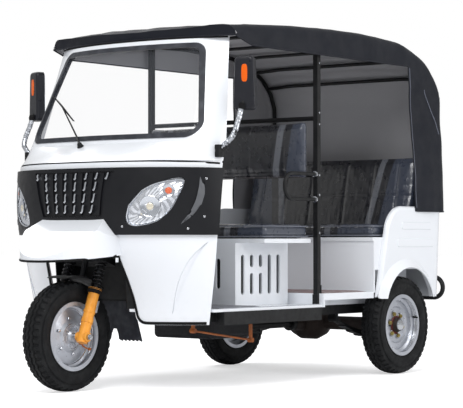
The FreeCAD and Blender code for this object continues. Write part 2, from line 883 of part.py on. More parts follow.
def fender_outline(grow):
    """Plan of the fender, from above."""
    tip, tip_half = fender_tip + grow, fender_tip_half + grow
    root_half = fender_root_half + grow
    edges = [
        Part.LineSegment(vec(-160, -root_half, 0), vec(-60, -root_half, 0)).toShape(),
        Part.Arc(vec(-60, -root_half, 0), vec(120, -(tip_half + root_half) / 2 + 2, 0),
                 vec(tip - 40, -tip_half, 0)).toShape(),
        Part.Arc(vec(tip - 40, -tip_half, 0), vec(tip, 0, 0), vec(tip - 40, tip_half, 0)).toShape(),
        Part.Arc(vec(tip - 40, tip_half, 0), vec(120, (tip_half + root_half) / 2 - 2, 0),
                 vec(-60, root_half, 0)).toShape(),
        Part.LineSegment(vec(-60, root_half, 0), vec(-160, root_half, 0)).toShape(),
        Part.LineSegment(vec(-160, root_half, 0), vec(-160, -root_half, 0)).toShape(),
    ]
    return Part.Face(Part.Wire(edges))


def fender_solid(grow, drop):
    """The room under the fender's outer face, grown in plan and lowered by a drop."""
    column = fender_outline(grow)
    column.translate(vec(0, 0, 500))
    column = column.extrude(vec(0, 0, 500))
    tip_x = fender_tip + 20
    low_tip, low_root = fender_low - drop, fender_root_low - drop
    outline = [(-160, fender_top - drop), (-40, fender_top - 4 - drop), (60, fender_top - 66 - drop),
               (tip_x, fender_low + fender_lip - 14 - drop), (tip_x, low_tip), (-160, low_root)]
    crown = prism_y(outline, -400, 400)
    side_low = fender_top - 90 - drop
    cross = prism_x([(-330, 600), (330, 600), (330, side_low - 60), (fender_root_half, side_low),
                     (200, fender_top - drop), (-200, fender_top - drop), (-fender_root_half, side_low),
                     (-330, side_low - 60)], -200, 300)
    return column.common(crown).common(cross)


def front_fender():
    shell = fender_solid(0, 0).cut(fender_solid(-fender_wall, fender_wall))
    cab = cab_skin(600.0, 1000.0, -200, seat_gap)
    return shell.cut(cab)


def fender_cut():
    return fender_solid(seat_gap, -seat_gap)


def wheel_well():
    """Bulkhead that closes the cab behind the front wheel."""
    half = wheel_well_half
    low_z = front_floor_top + seat_gap
    rear = well_rear
    outer = [(-150, well_top), (rear + 13, well_top - 50), (rear - well_sheet, 440)]
    inner = [(rear, low_z), (rear, 440), (rear + 20, well_top - 62), (-150, well_top - well_sheet)]
    back = prism_y([(rear - well_sheet, low_z)] + inner + outer, -half, half)
    hole = rod(steer_axis_at(500), steer_axis_at(900), stem_radius + head_tube_wall + 6)
    sides = [prism_y([(rear - well_sheet, low_z), (-178, low_z)] + outer,
                     side * half, side * (half - 6)) for side in (-1, 1)]
    return fused([back] + sides).cut(hole).cut(head_braces(seat_gap))


def mud_flap():
    """Rubber flap behind the wheel, with two toothed lobes and a notch between them."""
    top = front_floor_top + 30
    pitch = (flap_half_width - flap_notch_half) / flap_teeth
    lobe = []
    for i in range(flap_teeth):
        y = flap_notch_half + pitch * i
        lobe.append((y, flap_low + 8))
        lobe.append((y + pitch * 0.85, flap_low))
    right = [(flap_notch_half * 0.4, flap_low + 60), (flap_notch_half * 0.8, flap_low + 35)] + lobe
    right = right + [(flap_half_width, flap_low + 4), (flap_top_half, top)]
    left = [(-y, z) for y, z in reversed(right)]
    front = well_rear + seat_gap + flap_thick
    return prism_x(left + right, well_rear + seat_gap, front)


def dashboard():
    low = cab_skin(1010.0, 1100.0, -150, -cab_wall - seat_gap)
    column = rod(steer_axis_at(900), steer_axis_at(1200), 70)
    return low.cut(column)


def wiper():
    """Pivot under the glass, with the arm and the blade that lie across it."""
    pivot = rod(vec(-240, wiper_y, cowl_top - 8), vec(-195, wiper_y, cowl_top - 2), 12)
    arm = bent_tube([vec(-201, wiper_y, cowl_top - 4), vec(-250, -200, 1290), vec(-350, -392, 1424)], 4, 40)
    blade = bent_tube([vec(-398, -486, 1482), vec(-338, -363, 1411), vec(-297, -240, 1337)], 5, 60)
    cab = cab_skin(cab_groove_low, header_top, -60, seat_gap)
    return fused([pivot, arm, blade]).cut(cab)


def mirror_housing(side):
    """Housing that narrows to the top and is turned outward."""
    low, high = mirror_low_width / 2, mirror_high_width / 2
    half = mirror_height / 2
    corners = [vec(0, -low, -half), vec(0, low, -half), vec(0, high, half), vec(0, -high, half)]
    face = Part.Face(rounded_wire(corners, [mirror_corner] * len(corners)))
    body = face.extrude(vec(mirror_depth, 0, 0))
    front = [e for e in body.Edges if e.BoundBox.XMin > mirror_depth - 1]
    body = body.makeFillet(14, front)
    body.translate(vec(-mirror_depth / 2, 0, 0))
    body.rotate(vec(0, 0, 0), vec(0, 0, 1), mirror_toe_deg)
    body.translate(vec(mirror_x, mirror_y, mirror_z))
    return body if side > 0 else mirrored(body)


def mirror_arm():
    root_x, root_y = door_edge(1165.0)
    root = vec(root_x + 40, root_y + 4, 1165)
    end = vec(mirror_x - 8, mirror_y, mirror_z - 40)
    corner = vec(root.x - 20, mirror_y + 10, 1240)
    arm = bent_tube([root, corner, end], mirror_arm_radius, 40)
    clamp = box(root.x - 25, root.x + 25, root_y - 8, root_y + 16, 1135, 1195)
    cab = cab_skin(cab_groove_high, cowl_top, -60, seat_gap)
    return fused([arm, clamp]).cut(cab).cut(mirror_housing(1))


def inset_outline(points, depth):
    """A counter-clockwise outline in x and z with every side moved inward by a depth."""
    moved = []
    count = len(points)
    for i, (x, z) in enumerate(points):
        before, after = points[i - 1], points[(i + 1) % count]
        into = vec(x - before[0], 0, z - before[1]).normalize()
        out = vec(after[0] - x, 0, after[1] - z).normalize()
        first, second = vec(-into.z, 0, into.x), vec(-out.z, 0, out.x)
        shift = (first + second) * (depth / (1 + first.dot(second)))
        moved.append((x + shift.x, z + shift.z))
    return moved


def canopy_outline(depth):
    """Side view of the room under the canopy, from its front foot over the roof to its rear foot."""
    foot = curtain_low - canopy_edge_radius - 15
    roof = [(x, roof_height - drop) for x, drop in ROOF_LINE]
    outline = [(canopy_front, foot)] + roof + [(canopy_rear, foot)]
    return inset_outline(outline, depth)


def roof_rail_path():
    """Centre line of the roof rails in x and z, under the cloth, from the front to the rear bend."""
    depth = canopy_sheet + roof_frame_gap + roof_tube_radius
    return canopy_outline(depth)[2:-1]


def roof_rail_height(x):
    path = roof_rail_path()
    for (x0, z0), (x1, z1) in zip(path, path[1:]):
        if x1 <= x <= x0:
            return z0 + (z1 - z0) * (x - x0) / (x1 - x0)
    return path[0][1]


def roof_frame():
    """Side poles, roof rails that run down to the rear body, cross bows and the two partition tubes."""
    half = pole_half_spacing
    size = pole_size / 2
    members = []
    for side in (-1, 1):
        y = side * half
        members.append(box(pole_x - size, pole_x + size, y - size, y + size, pole_low,
                           roof_rail_height(pole_x) - roof_tube_radius / 3))
        front = vec(roof_bow_places[0] + roof_tube_radius, y, roof_rail_height(roof_bow_places[0]))
        over = [vec(x, y, z) for x, z in roof_rail_path() if x < roof_bow_places[0] - 20]
        foot = vec(rear_face_top + side_wall / 2, side * rear_post_half, side_top - 5)
        members.append(bent_tube([front] + over + [foot], roof_tube_radius, 60))
    for x in roof_bow_places:
        z = roof_rail_height(x)
        rise = canopy_crown * 0.5
        end = half - 2
        members.append(bent_tube([vec(x, -end, z), vec(x, -end + 170, z + rise),
                                  vec(x, end - 170, z + rise), vec(x, end, z)], roof_bow_radius, 200))
    for z in (partition_top, partition_low):
        members.append(rod(vec(pole_x, -half, z), vec(pole_x, half, z), partition_radius))
    body_top = box(rear_face_top - 50, rear_face_top + 100, -800, 800, side_top - 100, side_top + seat_gap)
    return fused(members).cut(body_top)


def grab_loops():
    y = pole_half_spacing
    front = pole_x + pole_size / 2 + seat_gap
    points = [vec(front, y, loop_low), vec(front + loop_reach, y, loop_low),
              vec(front + loop_reach, y, loop_high), vec(front, y, loop_high)]
    return both_sides(bent_tube(points, loop_radius, 60))


def seat_box_slots():
    """Rounded slots through the sides and one through the front of the driver's seat box."""
    half = seat_box_half_width
    radius = slot_width / 2 - 0.5

    def slot(x, z0, z1):
        corners = [vec(x - slot_width / 2, -half - 5, z0), vec(x + slot_width / 2, -half - 5, z0),
                   vec(x + slot_width / 2, -half - 5, z1), vec(x - slot_width / 2, -half - 5, z1)]
        face = Part.Face(rounded_wire(corners, [radius] * len(corners)))
        return face.extrude(vec(0, 2 * half + 10, 0))

    slots = []
    for i in range(slot_count):
        x = slot_front - slot_pitch * i
        if i in (1, 2):
            slots.append(slot(x, slot_low, slot_bridge_low))
            slots.append(slot(x, slot_bridge_high, slot_high))
        else:
            slots.append(slot(x, slot_low, slot_high))
    front = slot(0, slot_low + 30, slot_high - 20)
    front.rotate(vec(0, 0, 0), vec(0, 0, 1), 90)
    window = box(seat_box_front - 20, seat_box_front + 20, -half, half, slot_low, slot_high)
    front.translate(vec(seat_box_front, half * 0.72, 0))
    return Part.makeCompound(slots + [front.common(window)])


def driver_seat_base():
    board = box(driver_front, driver_rear, -driver_half_width, driver_half_width,
                driver_board_low, driver_board_low + driver_board_thick)
    low = front_floor_top + seat_gap
    half = seat_box_half_width
    wall = seat_box_wall
    shell = box(seat_box_front, driver_rear, -half, half, low, driver_board_low)
    inside = box(seat_box_front - wall, driver_rear + wall, -half + wall, half - wall,
                 low - 1, driver_board_low - wall)
    return fused([board, shell]).cut(inside).cut(seat_box_slots())


def rounded_box(x0, x1, y0, y1, z0, z1, radius):
    shape = box(x0, x1, y0, y1, z0, z1)
    return shape.makeFillet(radius, shape.Edges)


def driver_cushion():
    low = driver_board_low + driver_board_thick + seat_gap
    return rounded_box(driver_front + 8, driver_rear, -driver_half_width - 8, driver_half_width + 8,
                       low, low + driver_cushion_thick, 22)


def driver_backrest():
    half = pole_half_spacing - pole_size / 2 - 8
    front = pole_x + partition_radius + seat_gap
    return rounded_box(front, front + 55, -half, half, partition_low - 30, partition_top - 6, 22)


def rear_seat_base():
    low = rear_floor_top - rear_floor_step + seat_gap
    rear = rear_seat_front - rear_seat_depth
    wheel_inner = wheel_y - tyre_width / 2 - 12
    shelf = tyre_radius * 2 + shelf_clearance
    wide = body_half_width - side_wall - seat_gap
    wall = 12.0
    outline = [(-wheel_inner, low), (wheel_inner, low), (wheel_inner, shelf), (wide, shelf),
               (wide, rear_seat_height), (-wide, rear_seat_height), (-wide, shelf), (-wheel_inner, shelf)]
    shell = prism_x(outline, rear, rear_seat_front)
    inset = [(-wheel_inner + wall, low - 1), (wheel_inner - wall, low - 1),
             (wheel_inner - wall, rear_seat_height - wall), (-wheel_inner + wall, rear_seat_height - wall)]
    inside = prism_x(inset, rear + wall, rear_seat_front - wall)
    fill = box(rear, rear_seat_front, -wide, wide, low, shelf + 1)
    front = fill.common(box(rear_seat_front - wall, rear_seat_front, -wide, wide, low, shelf + 1))
    front = front.cut(wheel_room())
    edge = box(rear_seat_front, rear_seat_front + 8, -wide, wide, rear_seat_height - 20,
               rear_seat_height)
    return fused([shell.cut(inside), front, edge])


def rear_cushion():
    low = rear_seat_height + seat_gap
    half = body_half_width - side_wall - 4
    rear = rear_seat_front - rear_seat_depth + rear_back_thick + 10 + seat_gap
    return rounded_box(rear_seat_front + 12, rear, -half, half, low, low + rear_cushion_thick, 24)


def rear_backrest():
    half = body_half_width - side_wall - 22
    low = rear_seat_height + seat_gap
    front = rear_seat_front - rear_seat_depth + rear_back_thick + 10
    thick = rear_back_thick
    outline = [(front, low), (front - rear_back_lean + 20, rear_back_top),
               (front - rear_back_lean - thick + 30, rear_back_top), (front - thick, low)]
    shape = prism_y(outline, -half, half)
    return shape.makeFillet(18, shape.Edges)


def wheel_room():
    """Cylinder that stays free around both rear tyres."""
    centre = vec(rear_axle_x, -900, tyre_radius)
    return Part.makeCylinder(tyre_radius + shelf_clearance, 1800, centre, vec(0, 1, 0))


def side_face(y):
    """Outline of the rear side panel without the wheel arch, at a distance from the centre."""
    corners = [vec(rear_face_low + rear_corner, y, side_low), vec(side_front_low, y, side_low),
               vec(side_front_high, y, side_top), vec(rear_face_top + rear_corner, y, side_top)]
    return Part.Face(rounded_wire(corners, [0, 12, side_corner, 0]))


def arch_flare():
    """Flared lip around the wheel arch, as a ring."""
    along = vec(arch_edge_radius - arch_crease_radius, arch_reach, 0)
    across = vec(-along.y, along.x, 0).normalize() * arch_sheet
    root = vec(arch_crease_radius, body_half_width - 1, 0)
    corners = [root, root + along, root + along + across, root + across]
    centre = vec(rear_axle_x - arch_setback, 0, arch_height)
    return ring_about_y([(corner.x, corner.y) for corner in corners], centre)


def pressed_rib(x0, x1, z0, z1):
    corners = [vec(x0, body_half_width - 1, z0), vec(x1, body_half_width - 1, z0),
               vec(x1, body_half_width - 1, z1), vec(x0, body_half_width - 1, z1)]
    radius = (z1 - z0) * 0.35
    face = Part.Face(rounded_wire(corners, [radius] * len(corners)))
    rib = face.extrude(vec(0, 1 + rib_proud, 0))
    outer = [e for e in rib.Edges if e.BoundBox.YMin > body_half_width]
    return rib.makeChamfer(rib_proud * 0.7, outer)


def side_panel(side):
    """Rear side panel with a bevelled front and top border, a flared arch and two pressed ribs."""
    panel = side_face(body_half_width - side_wall).extrude(vec(0, side_wall, 0))
    border = []
    for edge in panel.Edges:
        bounds = edge.BoundBox
        outer = bounds.YMin > body_half_width - 1
        if outer and bounds.ZMax > side_low + 20 and bounds.XMax > rear_face_low + rear_corner + 5:
            border.append(edge)
    panel = panel.makeFillet(side_bevel, border)
    hole = Part.makeCylinder(arch_crease_radius - arch_sheet, side_wall + 2,
                             vec(rear_axle_x - arch_setback, body_half_width - side_wall - 1, arch_height),
                             vec(0, 1, 0))
    flare = arch_flare().common(side_face(body_half_width - 5).extrude(vec(0, arch_reach + 20, 0)))
    ribs = [pressed_rib(*bounds) for bounds in PRESSED_RIBS]
    panel = fused([panel.cut(hole), flare] + ribs)
    return panel if side > 0 else mirrored(panel)


def plate_bracket():
    """Upright bracket for a number plate, on two feet."""
    x = rear_face_top - 8
    high = plate_bracket_low + plate_bracket_height
    half = plate_bracket_half
    plate = box(x, x - 4, -half, half, plate_bracket_low, high)
    foot_x = rear_face_at(plate_bracket_low) + side_wall / 2
    feet = [box(x - 1, foot_x, side * (half - 14), side * (half - 2), plate_bracket_low, high)
            for side in (-1, 1)]
    return fused([plate] + feet)


def plate_holes():
    z = plate_bracket_low + plate_bracket_height / 2
    x = rear_face_top
    return Part.makeCompound([rod(vec(x + 60, side * plate_hole_half_spacing, z),
                                  vec(x - 60, side * plate_hole_half_spacing, z), plate_hole_radius)
                              for side in (-1, 1)])


def rear_panel():
    """Back wall with rounded corners that meet the side panels."""
    def plan(x, z):
        half = body_half_width
        turn = rear_corner * (1 - math.sqrt(0.5))
        inner_turn = turn + side_wall * 0.7
        front = x + rear_corner - seat_gap
        inner = half - side_wall
        return Part.Wire([
            Part.LineSegment(vec(front, half, z), vec(front, inner, z)).toShape(),
            Part.Arc(vec(front, inner, z), vec(x + inner_turn, half - inner_turn, z),
                     vec(x + side_wall, half - rear_corner, z)).toShape(),
            Part.LineSegment(vec(x + side_wall, half - rear_corner, z),
                             vec(x + side_wall, -half + rear_corner, z)).toShape(),
            Part.Arc(vec(x + side_wall, -half + rear_corner, z),
                     vec(x + inner_turn, -half + inner_turn, z),
                     vec(front, -inner, z)).toShape(),
            Part.LineSegment(vec(front, -inner, z), vec(front, -half, z)).toShape(),
            Part.Arc(vec(front, -half, z), vec(x + turn, -half + turn, z),
                     vec(x, -half + rear_corner, z)).toShape(),
            Part.LineSegment(vec(x, -half + rear_corner, z), vec(x, half - rear_corner, z)).toShape(),
            Part.Arc(vec(x, half - rear_corner, z), vec(x + turn, half - turn, z),
                     vec(front, half, z)).toShape(),
        ])
    wall = Part.makeLoft([plan(rear_face_low, side_low), plan(rear_face_top, side_top)], True, True)
    return fused([wall, plate_bracket()]).cut(plate_holes())


def rear_face_at(z):
    share = (z - side_low) / (side_top - side_low)
    return rear_face_low + (rear_face_top - rear_face_low) * share


def tail_lamps():
    lamps = []
    for z in tail_lamp_places:
        high = z + tail_lamp_height
        low_x, high_x = rear_face_at(z) - seat_gap, rear_face_at(high) - seat_gap
        lamps.append(prism_y([(low_x, z), (low_x - tail_lamp_depth, z + 4),
                              (high_x - tail_lamp_depth, high - 4), (high_x, high)],
                             tail_lamp_inner, tail_lamp_outer))
    return both_sides(Part.makeCompound(lamps))


def canopy_solid(depth):
    """Room under the canopy, shrunk by a depth: side views lofted across, with rounded edges."""
    edge_half = body_half_width - canopy_edge_inset
    hem_half = body_half_width + canopy_hem_outset
    lean = (hem_half - edge_half) / (roof_height - curtain_low)

    def section(share, inset):
        wire = []
        for x, z in canopy_outline(depth + inset):
            half = edge_half + lean * (roof_height - z) - depth
            rise = canopy_crown * (1 - share * share) if z > skirt_low - 180 else 0
            wire.append(vec(x, half * share, z + rise))
        return Part.makePolygon(wire + [wire[0]])

    radius = canopy_edge_radius
    turns = [math.radians(angle) for angle in (90, 60, 30, 0)]
    corner = [(1 - radius * (1 - math.sin(turn)) / edge_half, radius * (1 - math.cos(turn)))
              for turn in turns]
    side = corner + [(0.5, 0)]
    sections = [section(-share, inset) for share, inset in side] + [section(0, 0)]
    sections += [section(share, inset) for share, inset in reversed(side)]
    body = Part.makeLoft(sections, True, True)
    return body.common(canopy_plan(depth))


def canopy_plan(depth):
    """Column that gives the canopy's front edge its bow."""
    wide = body_half_width + 60
    corner, front, rear = canopy_front_corner - depth, canopy_front - depth, canopy_rear - 200
    outline = [
        Part.Arc(vec(corner, -wide, 500), vec(front, 0, 500), vec(corner, wide, 500)).toShape(),
        Part.LineSegment(vec(corner, wide, 500), vec(rear, wide, 500)).toShape(),
        Part.LineSegment(vec(rear, wide, 500), vec(rear, -wide, 500)).toShape(),
        Part.LineSegment(vec(rear, -wide, 500), vec(corner, -wide, 500)).toShape(),
    ]
    return Part.Face(Part.Wire(outline)).extrude(vec(0, 0, 2000))


def canopy():
    """Cloth cover over the roof frame, with short skirts at the sides and curtains at the rear."""
    shell = canopy_solid(0).cut(canopy_solid(canopy_sheet))
    doors = prism_y([(0, 0), (0, skirt_low), (curtain_front_high, skirt_low),
                     (curtain_front_low, curtain_low), (curtain_front_low, 0)], -900, 900)
    front = box(0, skirt_front, -900, 900, 0, header_top + seat_gap)
    low = box(0, -2600, -900, 900, 0, curtain_low)
    return shell.cut(doors).cut(front).cut(low)


def rear_bumper():
    mid = (bumper_low + bumper_high) / 2
    radius = (bumper_high - bumper_low) / 2
    half = bumper_half_width - radius - bumper_radius
    x = bumper_x
    edges = [
        Part.LineSegment(vec(x, -half, bumper_low), vec(x, half, bumper_low)).toShape(),
        Part.Arc(vec(x, half, bumper_low), vec(x, half + radius, mid), vec(x, half, bumper_high)).toShape(),
        Part.LineSegment(vec(x, half, bumper_high), vec(x, -half, bumper_high)).toShape(),
        Part.Arc(vec(x, -half, bumper_high), vec(x, -half - radius, mid),
                 vec(x, -half, bumper_low)).toShape(),
    ]
    section = Part.Face(Part.Wire(Part.makeCircle(bumper_radius, vec(x, -half, bumper_low), vec(0, 1, 0))))
    loop = Part.Wire(edges).makePipe(section)
    stays = []
    rail_top = front_floor_top - front_floor_sheet - seat_gap
    for y in (-rail_half_spacing, rail_half_spacing):
        start = vec(rail_rear - seat_gap, y, rail_top - 20)
        stays.append(bent_tube([start, vec(x + 20, y, rail_top - 20), vec(x, y, bumper_low)], 11, 30))
    return fused([loop] + stays)


def rear_axle():
    centre = vec(rear_axle_x, 0, tyre_radius)
    hub_inner = wheel_y - hub_reach - 2
    outline = [(0, -hub_inner), (axle_tube_radius, -hub_inner), (axle_tube_radius, -120), (70, -100),
               (diff_radius, -45), (diff_radius, 45), (70, 100), (axle_tube_radius, 120),
               (axle_tube_radius, hub_inner), (0, hub_inner)]
    housing = ring_about_y(outline, centre)
    spindle = rod(vec(rear_axle_x, -wheel_y - 20, tyre_radius), vec(rear_axle_x, wheel_y + 20, tyre_radius),
                  rear_spindle_radius)
    pinion = rod(centre, centre + vec(pinion_reach, 0, 0), 44)
    return fused([housing, spindle, pinion])


def leaf_spring():
    leaves = []
    y0 = rail_half_spacing - spring_leaf_width / 2
    low_mid = tyre_radius - axle_tube_radius - spring_leaf_thick - seat_gap
    for i in range(spring_leaf_count):
        reach = spring_half_length * (1 - 0.2 * i)
        drop = spring_leaf_thick * i
        rise = (spring_eye_height - low_mid) * (reach / spring_half_length) ** 2
        mid = vec(rear_axle_x, y0, low_mid - drop)
        left = vec(rear_axle_x - reach, y0, low_mid - drop + rise)
        right = vec(rear_axle_x + reach, y0, low_mid - drop + rise)
        up = vec(0, 0, spring_leaf_thick)
        wire = Part.Wire([
            Part.Arc(left, mid, right).toShape(),
            Part.LineSegment(right, right + up).toShape(),
            Part.Arc(right + up, mid + up, left + up).toShape(),
            Part.LineSegment(left + up, left).toShape(),
        ])
        leaves.append(Part.Face(wire).extrude(vec(0, spring_leaf_width, 0)))
    rail_low = front_floor_top - front_floor_sheet - seat_gap - rail_height
    y1 = y0 + spring_leaf_width
    hangers = []
    for side in (-1, 1):
        x = rear_axle_x + side * spring_half_length
        eye = rod(vec(x, y0, spring_eye_height + 4), vec(x, y1, spring_eye_height + 4), 17)
        top = rail_low - seat_gap
        hangers.append(fused([eye, box(x - 14, x + 14, y0 + 2, y1 - 2, spring_eye_height, top)]))
    plate_low = low_mid - spring_leaf_thick * spring_leaf_count
    over = spring_plate_overhang
    plate = box(rear_axle_x - 55, rear_axle_x + 55, y0 - over, y1 + over, plate_low,
                plate_low + spring_leaf_thick)
    bolts = []
    for x in (rear_axle_x - axle_tube_radius - 5, rear_axle_x + axle_tube_radius + 5):
        for y in (y0 - over + 6, y1 + over - 6):
            bolts.append(rod(vec(x, y, plate_low - 8), vec(x, y, tyre_radius), 4.5))
    return fused(leaves + hangers + [plate] + bolts)


def engine():
    return rounded_box(engine_rear, engine_front, -engine_width / 2, engine_width / 2, engine_low,
                       engine_high, 25)


def propshaft():
    start = vec(engine_rear - seat_gap, 0, tyre_radius)
    end = vec(rear_axle_x + pinion_reach + seat_gap, 0, tyre_radius)
    along = (end - start).normalize()
    shaft = rod(start, end, propshaft_radius)
    flanges = [rod(start, start + along * 30, 42), rod(end - along * 30, end, 42)]
    return fused([shaft] + flanges)


def brake_linkage():
    """Pull rod under the left rail, with a lever at each end."""
    y = rail_half_spacing
    top = front_floor_top - front_floor_sheet - rail_height - 2 * seat_gap
    front = vec(rail_front - 20, y, 290)
    rear = vec(brake_lever_x, y, brake_lever_low)
    levers = []
    for end in (front, rear):
        levers.append(rod(end - vec(0, 14, 0), end + vec(0, 14, 0), 12))
        levers.append(box(end.x - 8, end.x + 8, y - 6, y + 6, end.z, top))
    return fused([rod(front, rear, 5)] + levers)


def exhaust():
    y, z = exhaust_y, exhaust_height
    pipe = bent_tube([vec(exhaust_port_x, -engine_width / 2 - seat_gap, z), vec(exhaust_port_x, y, z),
                      vec(silencer_front - 20, y, z)], exhaust_radius, 40)
    can = rod(vec(silencer_front, y, z), vec(silencer_rear, y, z), silencer_radius)
    tail = bent_tube([vec(silencer_rear, y, z), vec(silencer_rear - 80, y, z),
                      vec(silencer_rear - 140, y, z - 55)], exhaust_radius - 3, 40)
    return fused([pipe, can, tail])


def build_nodes():
    nodes = {
        "chassis_frame": chassis_frame(),
        "floor_pan": floor_pan(),
        "cab_front": cab_front(),
        "windscreen_surround": windscreen_surround(),
        "windscreen_seal": windscreen_seal(),
        "windscreen": windscreen(),
        "front_mask": front_mask(),
        "grille": grille(),
        "headlamp_left": headlamp(1),
        "headlamp_right": headlamp(-1),
        "front_fender": front_fender(),
        "wheel_well": wheel_well(),
        "mud_flap": mud_flap(),
        "dashboard": dashboard(),
        "wiper": wiper(),
        "mirror_left": mirror_housing(1),
        "mirror_right": mirror_housing(-1),
        "mirror_arms": both_sides(mirror_arm()),
        "roof_frame": roof_frame(),
        "grab_loops": grab_loops(),
        "driver_seat_base": driver_seat_base(),
        "driver_cushion": driver_cushion(),
        "driver_backrest": driver_backrest(),
        "rear_seat_base": rear_seat_base(),
        "rear_cushion": rear_cushion(),
        "rear_backrest": rear_backrest(),
        "side_panel_left": side_panel(1),
        "side_panel_right": side_panel(-1),
        "rear_panel": rear_panel(),
        "tail_lamps": tail_lamps(),
        "canopy": canopy(),
        "rear_bumper": rear_bumper(),
        "rear_axle": rear_axle(),
        "leaf_springs": both_sides(leaf_spring()),
        "engine": engine(),
        "propshaft": propshaft(),
        "brake_linkage": brake_linkage(),
        "exhaust": exhaust(),
        "fork_yoke": fork_yoke(),
        "fork_lowers": fork_lowers(),
        "fork_springs": fork_springs(),
        "front_axle": front_axle(),
        "handlebar": handlebar(),
        "front_rim": front_rim(),
        "front_tyre": tyre(front_centre),
        "rear_left_rim": rear_rim(1),
        "rear_left_hub": rear_hub(1),
        "rear_left_tyre": rear_tyre(1),
        "rear_right_rim": rear_rim(-1),
        "rear_right_hub": rear_hub(-1),
        "rear_right_tyre": rear_tyre(-1),
    }
    return nodes


nodes = build_nodes()
front_reach = tyre_radius
rear_reach = bumper_x - bumper_radius
centring = vec(-(front_reach + rear_reach) / 2, 0, 0)
for name, shape in nodes.items():
    shape.translate(centring)
    shape.exportStep("parts/" + name + ".step")
print("steering axis point", steer_point + centring, "direction", fork_up)
print("front wheel", front_centre + centring, "rear axle x", rear_axle_x + centring.x)
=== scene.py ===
import json
import math

import bmesh
import bpy
from mathutils import Matrix, Vector, noise
from mathutils.bvhtree import BVHTree


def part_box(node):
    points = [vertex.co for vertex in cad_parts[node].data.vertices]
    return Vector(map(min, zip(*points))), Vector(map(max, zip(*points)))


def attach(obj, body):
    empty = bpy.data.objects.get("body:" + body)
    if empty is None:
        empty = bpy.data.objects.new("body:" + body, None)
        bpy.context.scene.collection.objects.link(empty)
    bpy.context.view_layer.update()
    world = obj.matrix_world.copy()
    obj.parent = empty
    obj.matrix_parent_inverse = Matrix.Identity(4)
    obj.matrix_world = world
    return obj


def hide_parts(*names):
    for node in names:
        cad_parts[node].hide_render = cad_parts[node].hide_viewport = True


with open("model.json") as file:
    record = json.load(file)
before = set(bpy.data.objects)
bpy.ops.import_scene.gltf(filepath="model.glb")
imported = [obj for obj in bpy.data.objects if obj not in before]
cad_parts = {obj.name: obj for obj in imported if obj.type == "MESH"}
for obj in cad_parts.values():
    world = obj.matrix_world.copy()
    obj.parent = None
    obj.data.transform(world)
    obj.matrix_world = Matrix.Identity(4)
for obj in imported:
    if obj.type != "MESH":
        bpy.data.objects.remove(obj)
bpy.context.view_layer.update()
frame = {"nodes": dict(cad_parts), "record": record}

# The model's own frame: +X forward, +Y to the vehicle's left. Places on the vehicle, and constants
# made of them, are millimetres from the front axle, as at() takes them. Sizes of trim are metres.


# The photograph's camera

CAMERA_FROM_FRONT_AXLE = Vector((6.5773, 6.2191, 0.7362))
CAMERA_YAW = 38.338
CAMERA_PITCH = 1.108
FOCAL_PIXELS = 1852.7
PHOTO_WIDTH = 463.0
SENSOR_WIDTH = 36.0
VIEW_DEPTH = 300

AHEAD = Vector((1, 0, 0))
LEFT = Vector((0, 1, 0))
UP = Vector((0, 0, 1))


def centre_of(node):
    """The middle of a CAD node's box."""
    low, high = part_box(node)
    return (low + high) / 2


AXLE = centre_of("front_tyre")
FRONT = AXLE.x


def at(x, y, z):
    """A place given in millimetres from the front axle, as the vehicle is measured."""
    return Vector((FRONT + x / 1000, y / 1000, z / 1000))


def placed(name, data):
    """A new object in the scene, for a mesh, a light or a camera."""
    obj = bpy.data.objects.new(name, data)
    bpy.context.scene.collection.objects.link(obj)
    return obj


def add_camera():
    data = bpy.data.cameras.new("photo_camera")
    data.sensor_width = SENSOR_WIDTH
    data.lens = SENSOR_WIDTH * FOCAL_PIXELS / PHOTO_WIDTH
    data.clip_end = VIEW_DEPTH
    camera = placed("photo_camera", data)
    camera.location = CAMERA_FROM_FRONT_AXLE + Vector((FRONT, 0, 0))
    camera.rotation_euler = (math.radians(90 + CAMERA_PITCH), 0, math.radians(90 + CAMERA_YAW))
    bpy.context.scene.camera = camera


# Materials

def srgb(r, g, b):
    """A colour given as the photograph shows it, in 0 to 255."""
    def linear(value):
        share = value / 255
        return share / 12.92 if share <= 0.04045 else ((share + 0.055) / 1.055) ** 2.4
    return (linear(r), linear(g), linear(b), 1.0)


